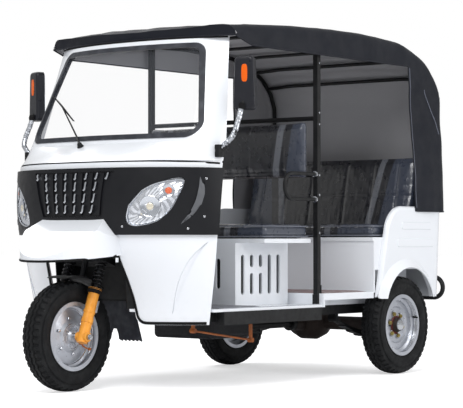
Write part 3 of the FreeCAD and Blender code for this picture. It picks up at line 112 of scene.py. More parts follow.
class Finish:
    """A material with one Principled shader and the procedural textures that feed it."""

    def __init__(self, name, roughness=0.5, metallic=0.0, **sockets):
        self.material = bpy.data.materials.new(name)
        self.material.use_nodes = True
        self.tree = self.material.node_tree
        self.shader = self.tree.nodes["Principled BSDF"]
        self.place = self.add("ShaderNodeTexCoord").outputs["Object"]
        self.set("Roughness", roughness)
        self.set("Metallic", metallic)
        for socket, value in sockets.items():
            self.set(socket.replace("_", " "), value)

    def add(self, kind, **settings):
        node = self.tree.nodes.new(kind)
        for name, value in settings.items():
            setattr(node, name, value)
        return node

    def link(self, output, socket):
        self.tree.links.new(output, socket)

    def set(self, socket, value):
        self.shader.inputs[socket].default_value = value

    def stretched(self, stretch):
        mapping = self.add("ShaderNodeMapping")
        mapping.inputs["Scale"].default_value = stretch
        self.link(self.place, mapping.inputs["Vector"])
        return mapping.outputs["Vector"]

    def noise(self, scale, detail=3.0, stretch=(1, 1, 1)):
        node = self.add("ShaderNodeTexNoise")
        node.inputs["Scale"].default_value = scale
        node.inputs["Detail"].default_value = detail
        self.link(self.stretched(stretch), node.inputs["Vector"])
        return node.outputs["Fac"]

    def wave(self, scale, direction):
        node = self.add("ShaderNodeTexWave", bands_direction=direction, wave_profile="SIN")
        node.inputs["Scale"].default_value = scale
        self.link(self.place, node.inputs["Vector"])
        return node.outputs["Fac"]

    def cells(self, scale):
        node = self.add("ShaderNodeTexVoronoi", feature="F1")
        node.inputs["Scale"].default_value = scale
        self.link(self.place, node.inputs["Vector"])
        return node.outputs["Distance"]

    def along(self, axis):
        node = self.add("ShaderNodeSeparateXYZ")
        self.link(self.place, node.inputs["Vector"])
        return node.outputs[axis]

    def graded(self, value, low, high, to_low=0.0, to_high=1.0):
        node = self.add("ShaderNodeMapRange")
        self.link(value, node.inputs["Value"])
        ends = {"From Min": low, "From Max": high, "To Min": to_low, "To Max": to_high}
        for socket, number in ends.items():
            node.inputs[socket].default_value = number
        return node.outputs["Result"]

    def maths(self, operation, first, second):
        node = self.add("ShaderNodeMath", operation=operation)
        for socket, value in zip(node.inputs, (first, second)):
            if isinstance(value, (int, float)):
                socket.default_value = value
            else:
                self.link(value, socket)
        return node.outputs["Value"]

    def blended(self, share, first, second):
        """Two colours mixed: node outputs, three numbers in 0 to 255, or four linear ones."""
        node = self.add("ShaderNodeMix", data_type="RGBA")
        self.link(share, node.inputs["Factor"])
        for socket, colour in ((node.inputs[6], first), (node.inputs[7], second)):
            if isinstance(colour, tuple):
                socket.default_value = srgb(*colour) if len(colour) == 3 else colour
            else:
                self.link(colour, socket)
        return node.outputs[2]

    def colour(self, output):
        self.link(output, self.shader.inputs["Base Color"])

    def roughness(self, output):
        self.link(output, self.shader.inputs["Roughness"])

    def uneven(self, scale, detail, roughness, less, more, ends=(0.3, 0.7)):
        """Roughness that wanders about its value."""
        cloud = self.noise(scale, detail)
        self.roughness(self.graded(cloud, *ends, roughness - less, roughness + more))

    def bump(self, height, depth, strength=1.0):
        """Relief of a depth in metres, on top of any relief set before."""
        node = self.add("ShaderNodeBump")
        node.inputs["Strength"].default_value = strength
        node.inputs["Distance"].default_value = depth
        self.link(height, node.inputs["Height"])
        normal = self.shader.inputs["Normal"]
        if normal.links:
            self.link(normal.links[0].from_socket, node.inputs["Normal"])
        self.link(node.outputs["Normal"], normal)


ROAD_DUST = (170, 166, 160)


def gloss_paint(name, light, dark, roughness=0.22):
    """Sprayed enamel: a slight orange peel, and dust that thickens towards the road."""
    paint = Finish(name, Coat_Weight=0.6, Coat_Roughness=0.08)
    clean = paint.blended(paint.noise(1.1, 2), light, dark)
    low_down = paint.graded(paint.along("Z"), 0.6, 0.25)
    dust = paint.maths("MULTIPLY", paint.graded(paint.noise(24, 6), 0.5, 0.8), low_down)
    paint.colour(paint.blended(paint.maths("MULTIPLY", dust, 0.12), clean, ROAD_DUST))
    paint.uneven(60, 3, roughness, 0.03, 0.04)
    paint.bump(paint.noise(150, 2), 0.0001, 0.12)
    return paint.material


def satin_paint(name, base, worn, roughness=0.42, shine=0.3):
    """Brushed-on enamel with dull patches."""
    paint = Finish(name, Specular_IOR_Level=shine)
    patches = paint.graded(paint.noise(14, 6), 0.45, 0.75)
    paint.colour(paint.blended(patches, base, worn))
    paint.uneven(35, 5, roughness, 0.08, 0.16)
    paint.bump(paint.noise(260, 3), 0.0003, 0.4)
    return paint.material


def grained_plastic(name, base, pale, roughness=0.55, grain=900.0, shine=0.25):
    """Moulded plastic with a fine leather-like grain."""
    plastic = Finish(name, Specular_IOR_Level=shine)
    plastic.colour(plastic.blended(plastic.noise(5, 3), base, pale))
    plastic.uneven(24, 4, roughness, 0.06, 0.08)
    plastic.bump(plastic.cells(grain), 0.0002, 0.5)
    return plastic.material


def rubber(name, base, dusty, roughness=0.7):
    """Rubber with dust in its pores."""
    stuff = Finish(name, Specular_IOR_Level=0.18)
    stuff.colour(stuff.blended(stuff.graded(stuff.noise(18, 6), 0.45, 0.72), base, dusty))
    stuff.uneven(50, 4, roughness, 0.08, 0.12)
    stuff.bump(stuff.noise(700, 3), 0.0003, 0.5)
    return stuff.material


def metal(name, light, dark, roughness=0.3, metallic=1.0):
    """Bare or plated metal with fine marks and faint tarnish."""
    steel = Finish(name, metallic=metallic)
    steel.colour(steel.blended(steel.noise(9, 6), light, dark))
    steel.uneven(80, 4, roughness, 0.1, 0.12, ends=(0.25, 0.75))
    steel.bump(steel.noise(500, 2), 0.0002, 0.25)
    return steel.material


def clear_sheet(name, tint, alpha, roughness=0.04):
    """Clear glass or plastic that the eye goes straight through, with soft patches of painted shade."""
    glass = Finish(name, roughness=roughness, Alpha=alpha, Specular_IOR_Level=1.0, Coat_Weight=1.0)
    shaded = tuple(c * 0.8 for c in srgb(*tint)[:3]) + (1.0,)
    # Noise mixes the tint with a copy a fifth darker: painted shade.
    glass.colour(glass.blended(glass.noise(6, 5), tint, shaded))
    return glass.material


THREADS_PER_METRE = 700.0


def woven_cloth(name, cloth_tone, gap):
    """Coated canvas: a fine square weave over broad soft shading."""
    cloth = Finish(name, roughness=0.62, Sheen_Weight=0.02, Specular_IOR_Level=0.22)
    weave = cloth.maths("MULTIPLY", *(cloth.wave(THREADS_PER_METRE, axis) for axis in "XZ"))
    # The two colours are not the weave's thread and gap: noise mixes them in broad soft patches of painted
    # shade.
    cloth.colour(cloth.blended(cloth.noise(3.5, 5), cloth_tone, gap))
    cloth.roughness(cloth.graded(cloth.noise(12, 5), 0.3, 0.7, 0.5, 0.72))
    cloth.bump(weave, 0.0003, 0.35)
    cloth.bump(cloth.noise(7, 4), 0.004, 0.35)
    return cloth.material


def vinyl(name, base, pale, roughness=0.38):
    """Leathercloth with a pebbled grain and faint creases."""
    skin = Finish(name)
    skin.colour(skin.blended(skin.noise(6, 4), base, pale))
    skin.uneven(16, 4, roughness, 0.1, 0.12)
    skin.bump(skin.cells(550.0), 0.0003, 0.5)
    skin.bump(skin.noise(22, 5), 0.002, 0.3)
    return skin.material


def wrapped_vinyl(name, dark, blue, strip, roughness=0.3):
    """Seat leathercloth in panels, under a wrinkled clear film that is still on it."""
    skin = Finish(name, Coat_Weight=0.9, Coat_Roughness=0.06)
    across = skin.add("ShaderNodeMath", operation="ABSOLUTE")
    skin.link(skin.along("Y"), across.inputs[0])
    place = skin.maths("ADD", across.outputs["Value"], skin.maths("MULTIPLY", skin.along("Z"), -0.16))
    outer = skin.graded(place, 0.240, 0.246)
    light = skin.maths("MULTIPLY", skin.graded(place, 0.150, 0.156), skin.graded(place, 0.196, 0.190))
    panels = skin.blended(outer, dark, blue)
    skin.colour(skin.blended(light, panels, strip))
    skin.uneven(30, 5, roughness, 0.1, 0.15)
    skin.bump(skin.cells(520.0), 0.0003, 0.4)
    relief = skin.add("ShaderNodeBump")
    relief.inputs["Distance"].default_value = 0.006
    skin.link(skin.noise(16, 8, (1.0, 2.6, 0.7)), relief.inputs["Height"])
    skin.link(relief.outputs["Normal"], skin.shader.inputs["Coat Normal"])
    return skin.material


WHITE = gloss_paint("white_enamel", (233, 236, 241), (228, 232, 238))
BLACK = satin_paint("black_enamel", (13, 14, 16), (22, 23, 25))
MASK = grained_plastic("mask_plastic", (16, 17, 21), (22, 23, 27), roughness=0.42)
# Grey for the crescents on the black mask: a painted highlight where its creases catch the light.
CREASE_HIGHLIGHT = grained_plastic("crease_highlight_grey", (84, 86, 90), (100, 102, 106), roughness=0.4)
GLOSS_BLACK = grained_plastic("mirror_plastic", (27, 28, 33), (34, 35, 41), roughness=0.32)
SEAL = rubber("seal_rubber", (48, 50, 56), (70, 72, 78), roughness=0.45)
RUBBER = rubber("black_rubber", (14, 14, 16), (26, 26, 27))
TYRE = rubber("tyre_rubber", (18, 19, 21), (32, 33, 34), roughness=0.62)
SPRING = satin_paint("spring_black", (14, 14, 17), (26, 26, 30), roughness=0.2)
GLASS = clear_sheet("windscreen_glass", (190, 196, 208), 0.04)
LENS = clear_sheet("lamp_lens", (215, 222, 232), 0.10)
DIAL = grained_plastic("dial_face", (16, 17, 20), (24, 25, 28), roughness=0.2)
STEEL = metal("bright_steel", (212, 214, 218), (166, 169, 174), roughness=0.2)
CHROME = metal("chrome", (226, 229, 234), (176, 181, 190), roughness=0.1)
REFLECTOR = metal("reflector", (238, 240, 244), (196, 200, 208), roughness=0.14)
MIRROR = metal("mirror_glass", (214, 220, 228), (196, 203, 212), roughness=0.06)
FOIL = metal("silver_wrap", (216, 219, 224), (150, 154, 162), roughness=0.3)
RIM = metal("wheel_silver", (206, 209, 216), (158, 162, 171), roughness=0.34, metallic=0.7)
BRASS = metal("nut_gold", (190, 176, 112), (132, 116, 66), roughness=0.3)
IRON = metal("hub_iron", (34, 31, 31), (66, 52, 46), roughness=0.6, metallic=0.4)
DARK_RED = satin_paint("hub_red", (92, 24, 22), (54, 20, 18), roughness=0.4)
RUST = satin_paint("rusty_orange", (168, 96, 48), (112, 60, 34), roughness=0.5)
ORANGE = satin_paint("fork_orange", (236, 160, 62), (214, 134, 46), roughness=0.32)
CAST = metal("engine_casting", (46, 46, 49), (26, 26, 29), roughness=0.55, metallic=0.5)
CANOPY = woven_cloth("canopy_cloth", (20, 23, 33), (14, 17, 25))
LINING = woven_cloth("canopy_lining", (172, 172, 175), (158, 158, 162))
BINDING = woven_cloth("canopy_binding", (22, 24, 31), (26, 29, 38))
SEAM = woven_cloth("canopy_seam", (112, 116, 128), (84, 88, 100))
SEAT = wrapped_vinyl("seat_vinyl", (24, 25, 31), (54, 60, 74), (100, 103, 110))
PIPING = vinyl("seat_piping", (120, 124, 134), (86, 90, 100))
MAT = rubber("floor_mat", (120, 122, 128), (150, 152, 158), roughness=0.6)
RED_MAT = rubber("passenger_mat", (132, 112, 112), (158, 150, 150), roughness=0.6)
RED = grained_plastic("red_lens", (190, 24, 22), (150, 14, 16), roughness=0.15, grain=300.0)
AMBER = grained_plastic("amber_lens", (238, 108, 22), (206, 78, 12), roughness=0.15, grain=300.0)
BULB = metal("bulb", (244, 236, 214), (214, 204, 182), roughness=0.16, metallic=0.4)

SLOT_MATERIALS = {
    "white_paint": WHITE, "black_paint": BLACK, "mask_plastic": MASK, "black_gloss": GLOSS_BLACK,
    "lamp_lens": LENS, "windscreen_glass": GLASS, "seal_rubber": SEAL, "bright_steel": STEEL,
    "canopy_cloth": CANOPY, "seat_cover": SEAT, "tyre_rubber": TYRE, "rim_steel": RIM,
    "hub_iron": IRON, "fork_orange": ORANGE, "axle_steel": STEEL, "engine_metal": CAST,
    "tail_lens": RED,
}
NODE_MATERIALS = {"brake_linkage": RUST, "mirror_arms": BLACK}


def dress_cad_nodes():
    """Every CAD node gets its own material, or that of its slot in the record."""
    for part in frame["record"]["subparts"]:
        materials = frame["nodes"][part["node"]].data.materials
        materials.clear()
        materials.append(NODE_MATERIALS.get(part["node"], SLOT_MATERIALS[part["material_slot"]]))


# Building pieces

def finished(obj, material, body, replaces=(), smooth=35.0):
    """Shade a new object, give it its materials and put it on its body."""
    mesh = obj.data
    for one in material if isinstance(material, (list, tuple)) else [material]:
        mesh.materials.append(one)
    if smooth:
        mesh.shade_smooth()
        mesh.set_sharp_from_angle(angle=math.radians(smooth))
    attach(obj, body)
    if replaces:
        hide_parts(*replaces)
    return obj


def basis(axis):
    """An axis and two directions across it, all of length 1."""
    axis = Vector(axis).normalized()
    aside = Vector((0, 0, 1)) if abs(axis.z) < 0.9 else Vector((1, 0, 0))
    first = axis.cross(aside).normalized()
    return axis, first, axis.cross(first)


SAME_PLACE = 1e-6
BEVEL_ANGLE = 0.7


class Shape:
    """Vertices and faces gathered from simple forms, made into one object at the end."""

    def __init__(self):
        self.vertices = []
        self.faces = []
        self.marks = []

    def add(self, vertices, faces, mark=0):
        start = len(self.vertices)
        self.vertices += [Vector(v) for v in vertices]
        self.faces += [tuple(start + i for i in face) for face in faces]
        self.marks += [mark] * len(faces)

    def grid(self, rows, wrap_rows=False, wrap_columns=False, mark=0):
        """Faces between rows of points, closed round on themselves where asked."""
        count, width = len(rows), len(rows[0])
        faces = []
        for i in range(count if wrap_rows else count - 1):
            for j in range(width if wrap_columns else width - 1):
                a, b = i * width, (i + 1) % count * width
                k = (j + 1) % width
                faces.append((a + j, a + k, b + k, b + j))
        self.add([v for row in rows for v in row], faces, mark)

    def lathe(self, outline, centre, axis, steps=48, mark=0):
        """Turn an outline of (radius, distance along the axis) about the axis."""
        axis, first, second = basis(axis)
        rows = []
        for i in range(steps):
            angle = 2 * math.pi * i / steps
            out = first * math.cos(angle) + second * math.sin(angle)
            rows.append([centre + out * radius + axis * along for radius, along in outline])
        self.grid(rows, wrap_rows=True, mark=mark)

    def tube(self, path, radius, sides=10, closed=False, flat=1.0):
        """A round or flattened tube along a path, with closed ends."""
        count = len(path)
        rows = []
        across = None
        for i, point in enumerate(path):
            before = path[i - 1] if closed or i > 0 else path[0]
            after = path[(i + 1) % count] if closed or i < count - 1 else path[-1]
            along = (after - before).normalized()
            if across is None:
                across = basis(along)[1]
            across = (across - along * across.dot(along)).normalized()
            up = along.cross(across)
            size = radius[i] if isinstance(radius, (list, tuple)) else radius
            rows.append([point + across * size * math.cos(turn) + up * size * flat * math.sin(turn)
                         for turn in (2 * math.pi * k / sides for k in range(sides))])
        first = len(self.vertices)
        last = first + (count - 1) * sides
        self.grid(rows, wrap_rows=closed, wrap_columns=True)
        if not closed:
            self.faces += [tuple(range(first, first + sides))[::-1], tuple(range(last, last + sides))]
            self.marks += [0, 0]

    def slab(self, outline, thickness):
        """A plate: an outline of points, and the same outline moved by a vector."""
        count = len(outline)
        sides = [(i, (i + 1) % count, count + (i + 1) % count, count + i) for i in range(count)]
        self.add(list(outline) + [p + thickness for p in outline],
                 [tuple(range(count))[::-1], tuple(range(count, 2 * count))] + sides)

    def nut(self, centre, axis, radius, height):
        """A hexagon nut with a chamfered top and the end of its stud."""
        self.lathe([(0, height), (radius * 0.8, height), (radius, height * 0.82), (radius, 0), (0, 0)],
                   centre, axis, 6)
        self.lathe([(0, height * 1.35), (radius * 0.42, height * 1.3), (radius * 0.45, height * 0.9)],
                   centre, axis, 12)

    def dome(self, centre, axis, radius, height, mark=0):
        """A round-headed screw, rivet or bulb."""
        turns = [t * math.pi / 12 for t in range(6)]
        outline = [(radius * math.cos(turn), height * math.sin(turn)) for turn in turns]
        self.lathe([(0, 0)] + outline + [(0, height)], centre, axis, 20, mark)

    def object(self, name, bevel=0.0):
        mesh = bpy.data.meshes.new(name)
        mesh.from_pydata(self.vertices, [], self.faces)
        for polygon, mark in zip(mesh.polygons, self.marks):
            polygon.material_index = mark
        work = bmesh.new()
        work.from_mesh(mesh)
        bmesh.ops.remove_doubles(work, verts=work.verts, dist=SAME_PLACE)
        bmesh.ops.dissolve_degenerate(work, edges=work.edges, dist=SAME_PLACE)
        bmesh.ops.recalc_face_normals(work, faces=work.faces)
        if bevel:
            sharp = [e for e in work.edges if e.is_manifold and e.calc_face_angle(0) > BEVEL_ANGLE]
            bmesh.ops.bevel(work, geom=sharp, offset=bevel, segments=2, profile=0.6, affect="EDGES")
        work.to_mesh(mesh)
        work.free()
        return placed(name, mesh)

    def piece(self, name, material, body="chassis", slot=None, replaces=(), smooth=35.0, bevel=0.0):
        return finished(self.object(name, bevel), material, body, replaces, smooth)


def smoothed(points, steps=6, closed=False):
    """A soft line through the points."""
    count = len(points)
    line = []
    for i in range(count if closed else count - 1):
        p1, p2 = points[i], points[(i + 1) % count]
        p0 = points[i - 1] if closed or i > 0 else p1 * 2 - p2
        p3 = points[(i + 2) % count] if closed or i + 2 < count else p2 * 2 - p1
        for k in range(steps):
            t = k / steps
            line.append((p1 * 2 + (p2 - p0) * t + (p0 * 2 - p1 * 5 + p2 * 4 - p3) * t * t
                         + (p1 * 3 - p0 - p2 * 3 + p3) * t ** 3) / 2)
    return line if closed else line + [points[-1]]


def straight(start, end, steps):
    """Even steps from one place to another."""
    return [start.lerp(end, i / steps) for i in range(steps + 1)]


def spokes(count, first=0.0):
    """Directions round a wheel, evenly spaced from a first one in degrees."""
    turns = [math.radians(first) + 2 * math.pi * i / count for i in range(count)]
    return [Vector((math.cos(turn), 0, math.sin(turn))) for turn in turns]


def tree_of(mesh):
    """A mesh as a tree that rays can be cast on."""
    return BVHTree.FromPolygons([v.co.copy() for v in mesh.vertices],
                                [tuple(p.vertices) for p in mesh.polygons])


CLEAR_AHEAD = 2000


class Skin:
    """The outside of some CAD nodes, to lay trim on."""

    def __init__(self, *nodes):
        self.trees = [tree_of(frame["nodes"][node].data) for node in nodes]

    def hit(self, y, z):
        """The first place and normal met from straight ahead, at y and z in millimetres."""
        start = at(CLEAR_AHEAD, y, z)
        found = [tree.ray_cast(start, -AHEAD)[:2] for tree in self.trees]
        found = [pair for pair in found if pair[0]]
        if not found:
            return None
        place, normal = min(found, key=lambda pair: (pair[0] - start).length)
        return place, -normal if normal.dot(AHEAD) < 0 else normal

    def front(self, y, z, lift=0.0):
        """That place, lifted off the skin by some millimetres, and its normal."""
        place, normal = self.hit(y, z)
        return place + normal * lift / 1000, normal

    def line(self, points, lift, steps=6):
        """A line over the skin through places given as y and z."""
        flat = smoothed([Vector((0, y, z)) for y, z in points], steps)
        found = [pair for pair in (self.hit(p.y, p.z) for p in flat) if pair]
        return [place + normal * lift / 1000 for place, normal in found]


def applied(obj):
    """Replace an object's mesh by what its modifiers make of it."""
    bpy.context.view_layer.update()
    made = bpy.data.meshes.new_from_object(obj.evaluated_get(bpy.context.evaluated_depsgraph_get()))
    obj.modifiers.clear()
    obj.data = made
    return obj


# Wheels

PITCHES = 46
PITCH_STEPS = 6
CROWN_STEPS = 34
TREAD_BAND = 0.0125
TREAD_EDGE = 0.9
GROOVES = (-0.42, 0.0, 0.42)
SIDEWALL = [(0.1527, -0.8), (0.160, -0.80), (0.171, -0.83), (0.185, -0.94), (0.203, -1.0),
            (0.222, -0.985), (0.238, -0.95), (0.248, -0.93)]
WALL_RINGS = ((0.176, 0.895, 0.0012), (0.229, 0.975, 0.0014), (0.2345, 0.975, 0.0010))


def tyre_profile(outer, half):
    """Radius and y over a tyre's section, from one bead to the other."""
    wall = [(r, y * half) for r, y in SIDEWALL + [(outer - TREAD_BAND, -0.905)]]
    shares = [-1 + 2 * i / CROWN_STEPS for i in range(CROWN_STEPS + 1)]
    crown = [(outer - 0.0105 * abs(share) ** 2.6, share * 0.885 * half) for share in shares]
    return wall + crown + [(r, -y) for r, y in reversed(wall)]


def tread_cut(share, radius, outer, phase):
    """Depth of the tread at a place: three wavy grooves, open shoulders and notches in the walls."""
    gap = phase in ((0, 1) if share > 0 else (3, 4))
    if abs(share) < TREAD_EDGE and radius > outer - TREAD_BAND:
        wander = 0.05 if phase < PITCH_STEPS / 2 else -0.05
        in_groove = min(abs(share - wander - place) for place in GROOVES) < 0.055
        return 0.0075 if in_groove or (abs(share) > 0.56 and gap) else 0.0
    return 0.004 if radius > 0.236 and abs(share) >= TREAD_EDGE and gap else 0.0


def tyre(name, node, body):
    """A tyre with a worn road tread, in place of its CAD solid."""
    low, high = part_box(node)
    centre = (low + high) / 2
    outer = (high.z - low.z) / 2
    half = (high.y - low.y) / 2
    profile = tyre_profile(outer, half)
    shape = Shape()
    shape.grid([[centre + out * (radius - tread_cut(y / half, radius, outer, i % PITCH_STEPS)) + LEFT * y
                 for radius, y in profile]
                for i, out in enumerate(spokes(PITCHES * PITCH_STEPS))], wrap_rows=True)
    for side in (-1, 1):
        for radius, share, size in WALL_RINGS:
            aside = LEFT * (half * share * side)
            shape.tube([centre + out * radius + aside for out in spokes(72)], size, 6, closed=True)
    shape.piece(name, TYRE, body, "tyre_rubber", (node,), smooth=28.0)


def rear_wheel_trim(side):
    """Wheel nuts, hub cap, drum bolts and the valve of a rear wheel."""
    word = "left" if side > 0 else "right"
    body = "rear_%s_wheel" % word
    name = "rear_" + word
    axis = LEFT * side
    centre = centre_of(name + "_tyre")
    nuts, rings, cap, flange, valve = (Shape() for _ in range(5))
    for out in spokes(6, 12):
        nuts.nut(centre + out * 0.062 + axis * 0.0012, axis, 0.012, 0.013)
        rings.lathe([(0.0125, 0), (0.0185, 0.0005), (0.020, 0.003), (0.0185, 0.0052), (0.0125, 0.004)],
                    centre + out * 0.062 + axis * 0.0008, axis, 20)
    nuts.piece(name + "_nuts", BRASS, body, smooth=20.0)
    rings.lathe([(0.132, 0.0105), (0.1335, 0.013), (0.1315, 0.0155)], centre, axis, 64)
    rings.lathe([(0.0965, 0.0010), (0.099, 0.0035), (0.1005, 0.0085)], centre, axis, 64)
    for radius, along in ((0.1475, 0.030), (0.1478, 0.041)):
        rings.lathe([(radius + 0.0015, along - 0.004), (radius - 0.0012, along),
                     (radius + 0.0015, along + 0.004)], centre, axis, 72)
    rings.piece(name + "_rings", STEEL, body, smooth=40.0)
    cap.lathe([(0.0305, 0.0302), (0.030, 0.036), (0.025, 0.0415), (0.012, 0.0440), (0, 0.0443)],
              centre, axis, 36)
    cap.piece(name + "_hub_cap", STEEL, body)
    flange.lathe([(0.0445, 0.0013), (0.050, 0.0016), (0.0505, 0.0048), (0.0440, 0.0075), (0.0425, 0.0122)],
                 centre, axis, 40)
    for out in spokes(4, 30):
        flange.nut(centre + out * 0.0372 + axis * 0.0125, axis, 0.0042, 0.004)
    flange.piece(name + "_hub_flange", DARK_RED, body)
    out = Vector((math.cos(2.87), 0, math.sin(2.87)))
    foot = centre + out * 0.1455 + axis * 0.026
    valve.tube([foot, foot + axis * 0.010 - out * 0.003, foot + axis * 0.026 - out * 0.007], 0.0042, 10)
    valve.lathe([(0.0045, 0), (0.0045, 0.008), (0.003, 0.0105), (0, 0.011)],
                foot + axis * 0.025 - out * 0.0068, axis, 10)
    valve.piece(name + "_valve", RUBBER, body)


DRUM_FACE = 0.0322
AXLE_HEIGHT = 268


def front_wheel_trim():
    """Rings and bolts of the front wheel, the ribs of its drum and the axle's nuts."""
    centre = centre_of("front_tyre")
    for side, word in ((1, "left"), (-1, "right")):
        axis = LEFT * side
        trim = Shape()
        ring, lift, size = (0.088, 0.0212, 0.008) if side > 0 else (0.056, DRUM_FACE, 0.006)
        for out in spokes(6, 20):
            trim.nut(centre + out * ring + axis * lift, axis, size, size)
        for radius in (0.040, 0.060):
            trim.lathe([(radius - 0.002, DRUM_FACE), (radius, DRUM_FACE + 0.0016),
                        (radius + 0.002, DRUM_FACE)], centre, axis, 48)
        trim.lathe([(0.1465, 0.030), (0.1485, 0.034), (0.1465, 0.038)], centre, axis, 72)
        trim.lathe([(0.1330, 0.012 if side > 0 else -0.002), (0.1345, 0.014), (0.1365, 0.0165)],
                   centre, axis, 72)
        trim.piece("front_%s_wheel_trim" % word, STEEL, "front_wheel", smooth=40.0)
    ribs = Shape()
    for out in spokes(18):
        across = Vector((-out.z, 0, out.x)) * 0.0016
        ribs.slab([centre + out * r + LEFT * y - across for r, y in
                   ((0.036, DRUM_FACE), (0.036, 0.0375), (0.052, 0.0352), (0.062, DRUM_FACE))], across * 2)
    ribs.piece("front_drum_ribs", RIM, "front_wheel", smooth=30.0)
    cap = Shape()
    for side in (-1, 1):
        cap.nut(at(0, side * 151, AXLE_HEIGHT), LEFT * side, 0.0125, 0.009)
    cap.piece("front_axle_nuts", STEEL, "steering", smooth=20.0)


# The front fork

FORK_RAKE = math.radians(20)
FORK_UP = Vector((-math.sin(FORK_RAKE), 0, math.cos(FORK_RAKE)))
FORK_HALF_WIDTH = 105
FORK_LENGTH = 245
SPRING_LENGTH = 0.138
COIL_TURNS = 6.5
COIL_STEPS = 22


def leg_place(along, side):
    """A place on a fork leg's centre line, at a distance above the axle in millimetres."""
    return at(0, side * FORK_HALF_WIDTH, AXLE_HEIGHT) + FORK_UP * (along / 1000)


def fork_springs():
    """Coil springs between their seats, wound closer at the ends."""
    coils, seats = Shape(), Shape()
    axis, first, second = basis(FORK_UP)
    count = int(COIL_TURNS * COIL_STEPS)
    for side in (-1, 1):
        foot = leg_place(FORK_LENGTH + 0.3, side)
        path = []
        for i in range(count + 1):
            share = i / count
            ease = share + 0.018 * math.sin(2 * math.pi * share)
            angle = 2 * math.pi * COIL_TURNS * share
            path.append(foot + axis * (0.005 + (SPRING_LENGTH - 0.010) * ease)
                        + (first * math.cos(angle) + second * math.sin(angle)) * 0.0228)
        coils.tube(path, 0.0044, 8)
        seats.lathe([(0.0165, 0), (0.033, 0), (0.0345, 0.002), (0.0345, 0.0055), (0.031, 0.0075),
                     (0.0165, 0.0075)], foot - axis * 0.0076, FORK_UP, 32)
        seats.lathe([(0.0165, 0), (0.030, 0.001), (0.0315, 0.006), (0.0165, 0.008)],
                    foot + axis * (SPRING_LENGTH - 0.008), FORK_UP, 32)
    coils.piece("fork_coils", SPRING, "steering", replaces=("fork_springs",))
    seats.piece("fork_spring_seats", BLACK, "steering")


def fork_trim():
    """Bands, brackets and collars of the fork's legs, and the front brake's lever."""
    pads, cast, brake, boots = (Shape() for _ in range(4))
    for side in (-1, 1):
        for along, height in ((70, 0.026), (120, 0.012)):
            pads.lathe([(0.0275, 0), (0.0295, 0.001), (0.0295, height - 0.001), (0.0275, height)],
                       leg_place(along, side), FORK_UP, 32)
        middle = leg_place(150, side) - AHEAD * 0.030
        lift, wide, depth = FORK_UP * 0.030, LEFT * 0.012, AHEAD * -0.014
        cast.slab([middle - lift - wide, middle - lift + wide, middle + lift + wide, middle + lift - wide],
                  depth)
        for step in (-0.018, 0.018):
            cast.nut(middle + FORK_UP * step + depth, -AHEAD, 0.005, 0.004)
        boots.lathe([(0.0285, 0), (0.0355, 0.002), (0.0365, 0.010), (0.0355, 0.018), (0.030, 0.021)],
                    leg_place(FORK_LENGTH - 26, side), FORK_UP, 32)
    pads.piece("fork_bands", ORANGE, "steering")
    cast.piece("fork_brackets", RIM, "steering", bevel=0.002)
    hub = at(0, 60, AXLE_HEIGHT)
    lever = smoothed([hub + Vector(step) for step in
                      ((-0.030, 0.002, -0.030), (-0.050, 0.004, -0.052), (-0.086, 0.006, -0.064))], 5)
    brake.tube(lever, 0.006, 8, flat=0.6)
    brake.lathe([(0.011, 0), (0.011, 0.010), (0.006, 0.013), (0, 0.013)], lever[0] - LEFT * 0.004, LEFT, 16)
    brake.lathe([(0.007, 0), (0.007, 0.012), (0, 0.012)], lever[-1] - LEFT * 0.006, LEFT, 12)
    brake.piece("front_brake_lever", RUST, "steering")
    boots.piece("fork_collars", RUBBER, "steering")


# Front of the cab

TOOTH_TOPS = [-238, -172, -104, -39, 27, 97, 163, 225]
TOOTH_FEET = [-216, -153, -94, -40, 19, 77, 135, 190]
TOOTH_ROWS = [(1061, 1026, range(8)), (1018, 972, range(1, 7)), (962, 915, range(1, 7)),
              (907, 864, range(1, 7))]
TOPS_Z = 1045
FEET_Z = 870


def tooth_outline(column, high, low):
    """A slanted tooth with a hook at its foot, as y and z."""
    foot = TOOTH_FEET[column]
    lean = (TOOTH_TOPS[column] - foot) / (TOPS_Z - FEET_Z)
    middle = (high + low) / 2
    a = foot + lean * (high - FEET_Z)
    b = foot + lean * (low - FEET_Z)
    return [(a - 2, high - 5), (a + 6, high), (a + 9, high - 4), (a + 5, middle + 4), (b + 7, low + 8),
            (b - 1, low), (b - 9, low + 2), (b - 11, low + 6), (b - 4, low + 10), (a - 4, middle + 4)]


def grille_teeth():
    """Bright hooked teeth between the grille's slats, in four rows."""
    skin = Skin("grille", "front_mask")
    shape = Shape()
    for high, low, columns in TOOTH_ROWS:
        for column in columns:
            places = [skin.front(y, z, 1.0) for y, z in tooth_outline(column, high, low)]
            lift = sum((normal for _, normal in places), Vector()).normalized() * 0.009
            foremost = max(place.x for place, _ in places)
            shape.slab([place + AHEAD * ((foremost - place.x) * 0.8) for place, _ in places], lift)
    shape.piece("grille_teeth", CHROME, smooth=25.0, bevel=0.0012)


LAMP_LINE = [(318, 830), (345, 918), (396, 971), (466, 1010), (548, 1024), (552, 1000), (541, 955),
             (503, 870), (455, 826), (390, 806), (345, 806)]
LAMP_MIDDLE = (432, 908)
LAMP_DEPTH = -5.6
LAMP_BOWLS = ((430, 896, 0.050, 0.0180, 0.0048, 1), (395, 862, 0.022, 0.00792, 0.0048, 1),
              (503, 972, 0.030, 0.0170, 0.0050, 0))
FACET_RINGS = 7
FACET_STEPS = 44


def facet_rows(border, side):
    """Rings of small raised and sunk facets on the wall behind a lens."""
    back = Skin("cab_front")
    loop = smoothed([Vector((0, y, z)) for y, z in border], 4, closed=True)
    middle = Vector((0, LAMP_MIDDLE[0] * side, LAMP_MIDDLE[1]))
    rows = []
    for k in range(FACET_RINGS + 1):
        row = []
        for i in range(FACET_STEPS):
            spot = middle.lerp(loop[int(i * len(loop) / FACET_STEPS)], 0.97 * k / FACET_RINGS)
            place, normal = back.front(spot.y, spot.z, 1.3)
            raised = 0 < k < FACET_RINGS and (i + k) % 2
            row.append(place + normal * 0.0022 if raised else place)
        rows.append(row)
    return rows


